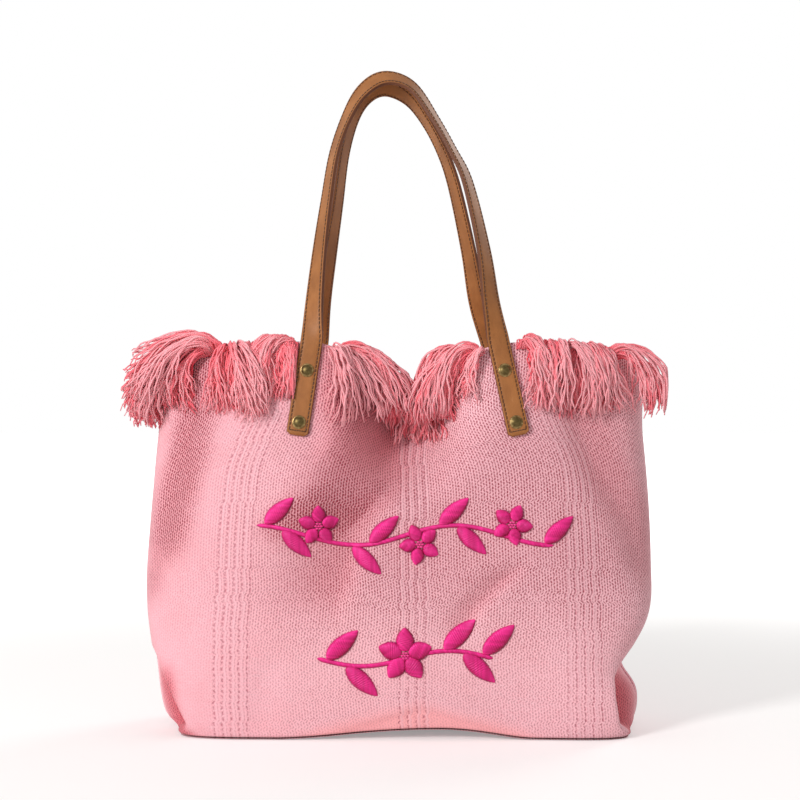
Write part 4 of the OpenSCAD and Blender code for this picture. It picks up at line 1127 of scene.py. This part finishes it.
def sprig(name, plan, replaced):
    """A wavy stem with leaves to both sides and five-petalled blossoms, all in satin stitch, with a ring of knots
    at each blossom's heart. A leaf that would lie over a blossom is left out."""
    def stem_height(f):
        """The stem's height at a share f of its width from its middle: a sine about its own level."""
        return plan["height"] + plan["wave"] * np.sin(2 * np.pi * plan["waves"] * f)

    def five_ways(turn):
        """The ways of five petals, evenly round from the first."""
        angle = turn + 2 * np.pi * np.arange(5) / 5
        return np.stack([np.cos(angle), np.sin(angle)], -1)

    blossoms = [(np.array([place * plan["width"], stem_height(place) + lift]), np.radians(90 + 24 * n))
                for n, (place, lift) in enumerate(plan["blossoms"])]
    clear = [24, plan["petal"] + 5, plan["petal"] + 3]
    feet, tips = [], []
    for i in range(plan["leaves"]):
        f = (i + 0.5) / plan["leaves"] - 0.5
        up = 1 if i % 2 == 0 else -1
        foot = np.array([f * plan["width"], stem_height(f) + up * 0.4 * STEM_WIDTH])
        tip = foot + plan["leaf"] * np.array([0.74, 0.68 * up])
        spots = (foot, (foot + tip) / 2, tip)
        if all(np.hypot(*(spot - heart)) > c for heart, _ in blossoms for spot, c in zip(spots, clear)):
            feet.append(foot)
            tips.append(tip)
    leaves = satin(feet, tips, [0.21 * plan["leaf"]] * len(feet), STITCH_HEIGHT + 1.0, 1.0)
    feet = np.concatenate([heart + 3.4 * five_ways(turn) for heart, turn in blossoms])
    tips = np.concatenate([heart + plan["petal"] * five_ways(turn) for heart, turn in blossoms])
    petals = satin(feet, tips, [0.335 * plan["petal"]] * len(feet), STITCH_HEIGHT + 1.2, -0.9)
    parts = (leaves, petals, satin_stem(plan["width"], stem_height))

    starts = np.cumsum([0] + [len(p[0]) for p in parts[:-1]])
    piece(name, np.concatenate([p[0] for p in parts]), np.concatenate([p[1] + s for p, s in zip(parts, starts)]),
          sprig_thread, slot="embroidery", replaces=replaced, uv=np.concatenate([p[2] for p in parts]), weld=True,
          thread=np.concatenate([p[3] for p in parts]))

    angle = np.radians(np.arange(0, 360, 60))
    knots = np.concatenate([[(0, 0)], 2.5 * np.stack([np.cos(angle), np.sin(angle)], -1)])
    spots = np.concatenate([heart + knots for heart, _ in blossoms])[:, :, None]
    s = np.linspace(-1, 1, 7)
    lines = on_wall(spots[:, 0] + 1.15 * s, spots[:, 1] + 0 * s, 0.6 + 1.6 * np.sqrt(1 - s ** 2))
    points, faces, uv = strands(lines, np.array([.5, .9, 1, 1, 1, .9, .5]), 8, across=(0, 0, 1.0))
    piece(name + "_knots", points, faces, knot_thread, slot="embroidery", uv=uv)


# ---------------------------------------------------------------- the inside pocket


def pocket():
    """The pocket's patch: a sheet on the back lining, a little proud of it and fuller in its middle."""
    rows, columns = 60, 90
    low, high = (np.array(v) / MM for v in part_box("pocket_patch"))
    x, z = np.meshgrid(np.linspace(low[0], high[0], columns), np.linspace(low[2], high[2], rows))
    edge = np.minimum(np.minimum(x - low[0], high[0] - x), np.minimum(z - low[2], high[2] - z))
    proud = -0.5 - 0.9 * smooth(edge / 3) - 1.1 * smooth(edge / 30)
    points = on_wall(x, z, proud, side=BACK, inset=LINING_INSET + LINING)
    piece("pocket_sheet", points, grid_faces(rows, columns), lining_cloth, slot="lining",
          replaces=["pocket_patch"], uv=np.stack([x, z], -1))


def zip_tape():
    """The zip's tape: a flat strip whose face has raised cords along it, carried along x, and the two rows of
    stitches that hold it. It lies where the back lining is nearest, at each height."""
    cord_pitch, stitch_pitch, stitch_long, stitch_in = 1.3, 3.0, 2.2, 1.6
    low, high = (np.array(v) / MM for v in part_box("zip_tape"))
    z = np.linspace(low[2], high[2], 41)
    off = np.abs(z - z.mean())
    across = np.linspace(0, high[0], 9)[:, None]
    lies = on_wall(across, z[None], proud=-LINING - 0.4, side=BACK, inset=LINING_INSET)[..., 1].min(0)
    cord = 0.12 * np.abs(np.cos(np.pi * off / cord_pitch)) * smooth((off - 1.6) / 0.4)
    face = lies - 0.38 - cord + 0.2 * smooth((off - 7.4) / 0.6)
    ring_z, ring_y = np.concatenate([z, z[::-1]]), np.concatenate([face, lies[::-1]])
    x = np.linspace(low[0], high[0], 60)[:, None]
    rings = closed_ends(np.stack(np.broadcast_arrays(x, ring_y, ring_z), -1))
    along = np.concatenate([x[:1], x, x[-1:]])
    piece("zip_tape_strip", rings, grid_faces(*rings.shape[:2], closed=True), tape_cloth, slot="lining",
          replaces=["zip_tape"], uv=np.stack(np.broadcast_arrays(along, ring_z), -1), weld=True)

    step = np.arange(low[0] + 1.5, high[0] - 3.5, stitch_pitch)[:, None] + np.linspace(0, stitch_long, 5)
    rise = 0.28 * np.sin(np.linspace(0, np.pi, 5))
    lines = [np.stack(np.broadcast_arrays(step, np.interp(h, z, face) - rise, h), -1)
             for h in (z[0] + stitch_in, z[-1] - stitch_in)]
    points, faces, uv = strands(np.concatenate(lines), 0.26, 5, across=(0.1, 0.2, 1.0))
    piece("zip_tape_stitches", points, faces, tape_thread, slot="lining", uv=uv)


# ---------------------------------------------------------------- everything, in order

bpy.context.scene.view_settings.view_transform = "Standard"
make_camera()
make_floor()
make_light()

canvas_wall(FRONT, "front_canvas", ["front_panel"])
canvas_wall(BACK, "back_canvas", ["back_panel"])
lining_wall(FRONT, "front_lining_cloth", ["front_lining"])
lining_wall(BACK, "back_lining_cloth", ["back_lining"])
base_sheet("base_canvas", 0.1, 2.0, canvas, "canvas", ["base_panel"], -1)
base_sheet("base_lining_cloth", LINING_INSET, 4.0, lining_cloth, "lining", ["base_lining"], 1)
side_seam(-1, "left_seam_welt", ["left_side_seam"])
side_seam(1, "right_seam_welt", ["right_side_seam"])

# How far left and right the yarn beside a strap may reach, so that it doesn't cover the leather
LEFT_OF_STRAPS, SHORT_OF_RIGHT_STRAP = (FRINGE_LEFT, -97), (FRINGE_LEFT, 76)
RIGHT_OF_STRAPS = (98, FRINGE_RIGHT)

fringe(FRONT, "front_left_yarns", [
    bunch((-212, -236), 5, (-34, -14), (56, 52), (6, 5), (10, 12), droop=0.2),
    bunch((-166, -210), 14, (-86, -40), (84, 62), (20, 5), (15, 12), turn=1.25, pale=0.10, droop=0.16),
    bunch((-200, -180), 5, (-46, -34), (56, 56), (6, 8), (8, 9), pale=-0.08, droop=0.2),
    bunch((-170, -150), 6, (-8, 8), (54, 62), (12, 9), (14, 13), pale=0.08),
    bunch((-150, -116), 8, (-12, -26), (54, 58), (8, 8), (8, 11), pale=-0.04),
    bunch((-122, -96), 7, (-8, 0), (50, 44), (6, 5), (4, 5), pale=-0.04, limits=LEFT_OF_STRAPS),
    bunch((-97, -126), 7, (-50, -30), (60, 54), (12, 12), (9, 12), turn=1.4, pale=0.12, limits=LEFT_OF_STRAPS),
], ["front_fringe_left"])
fringe(FRONT, "front_middle_yarns", [
    bunch((-18, -44), 6, (20, 34), (48, 50), (4, 6), (9, 12), pale=-0.10),
    bunch((-62, -30), 9, (72, 40), (62, 54), (9, 12), (12, 14), turn=1.8, pale=0.04),
    bunch((-18, 12), 6, (28, 4), (56, 56), (8, 6), (13, 17), pale=0.06),
    bunch((14, 34), 4, (-8, -24), (48, 54), (8, 8), (13, 16)),
    bunch((34, 56), 5, (-24, -28), (50, 54), (7, 7), (11, 14)),
    bunch((52, 68), 9, (-68, -36), (58, 58), (20, 13), (12, 13), turn=2.0, pale=0.12, droop=0.4),
    bunch((-66, -61), 4, (18, 34), (70, 62), (9, 10), (16, 19), turn=2.8, pale=0.40, each=18),
], ["front_fringe_middle"])
fringe(FRONT, "front_right_yarns", [
    bunch((99, 112), 4, (36, 20), (52, 50), (15, 14), (8, 11), pale=0.12, each=12, limits=RIGHT_OF_STRAPS),
    bunch((114, 126), 2, (12, -6), (50, 56), (9, 9), (8, 11), each=14, limits=RIGHT_OF_STRAPS),
    bunch((128, 156), 7, (-4, 18), (58, 58), (11, 11), (10, 13), pale=0.14, limits=RIGHT_OF_STRAPS),
    bunch((154, 187), 8, (20, 22), (50, 54), (10, 9), (12, 13), pale=0.10, limits=(FRINGE_LEFT, 218)),
    bunch((186, 193), 5, (46, 54), (56, 58), (14, 13), (13, 13), turn=2.2, pale=0.16, each=22,
          limits=(FRINGE_LEFT, 242), loose=0.4),
], ["front_fringe_right"])
for place, spans in (
    ("left", [((-232, -196), 9, (-20, -36)), ((-198, -150), 11, (-30, 6)), ((-150, -112), 8, (16, -20))]),
    ("middle", [((-72, -20), 12, (26, 34)), ((-18, 24), 9, (18, -12)), ((26, 73), 11, (-20, -30))]),
    ("right", [((112, 152), 9, (-14, 10)), ((154, 200), 10, (8, 30)), ((198, 216), 6, (22, 4))]),
):
    fringe(BACK, f"back_{place}_yarns", [
        bunch(roots, tufts, leans, (52, 54), (7, 9), (10, 14), pale=0.04, limits=(-246, 224))
        for roots, tufts, leans in spans], [f"back_fringe_{place}"])
fringe(FRONT, "front_middle_wisps", [
    bunch((60, 70), 4, (-30, -8), (42, 50), (9, 7), (6, 8), turn=1.5, pale=0.16, each=11,
          limits=SHORT_OF_RIGHT_STRAP),
], [])

for side, word, loop in ((FRONT, "front", FRONT_LOOP), (BACK, "back", BACK_LOOP)):
    layers = ("outer", "inner")
    tabs = [f"{word}_{way}_strap_end_{layer}" for way in ("left", "right") for layer in layers]
    strap(side, f"{word}_strap", loop, [f"{word}_handle_{layer}" for layer in layers] + tabs)
for side, word in ((FRONT, "front"), (BACK, "back")):
    for x_way, way in ((-1, "left"), (1, "right")):
        rivets(side, x_way, f"{word}_{way}_rivet_domes", [f"{word}_{way}_rivet_caps"])

sprig("upper_sprig", UPPER_STEM, ["upper_embroidery"])
sprig("lower_sprig", LOWER_STEM, ["lower_embroidery"])
pocket()
zip_tape()

carried = dict.fromkeys(("zip_teeth", "zip_stops", "zip_slider", "zip_pull"), teeth)
carried.update(dict.fromkeys(("snap_socket", "snap_stud", "front_snap_washer", "back_snap_washer"), steel))
for name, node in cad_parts.items():
    if not node.hide_render:
        node.data.materials.clear()
        node.data.materials.append(carried.get(name, brass))
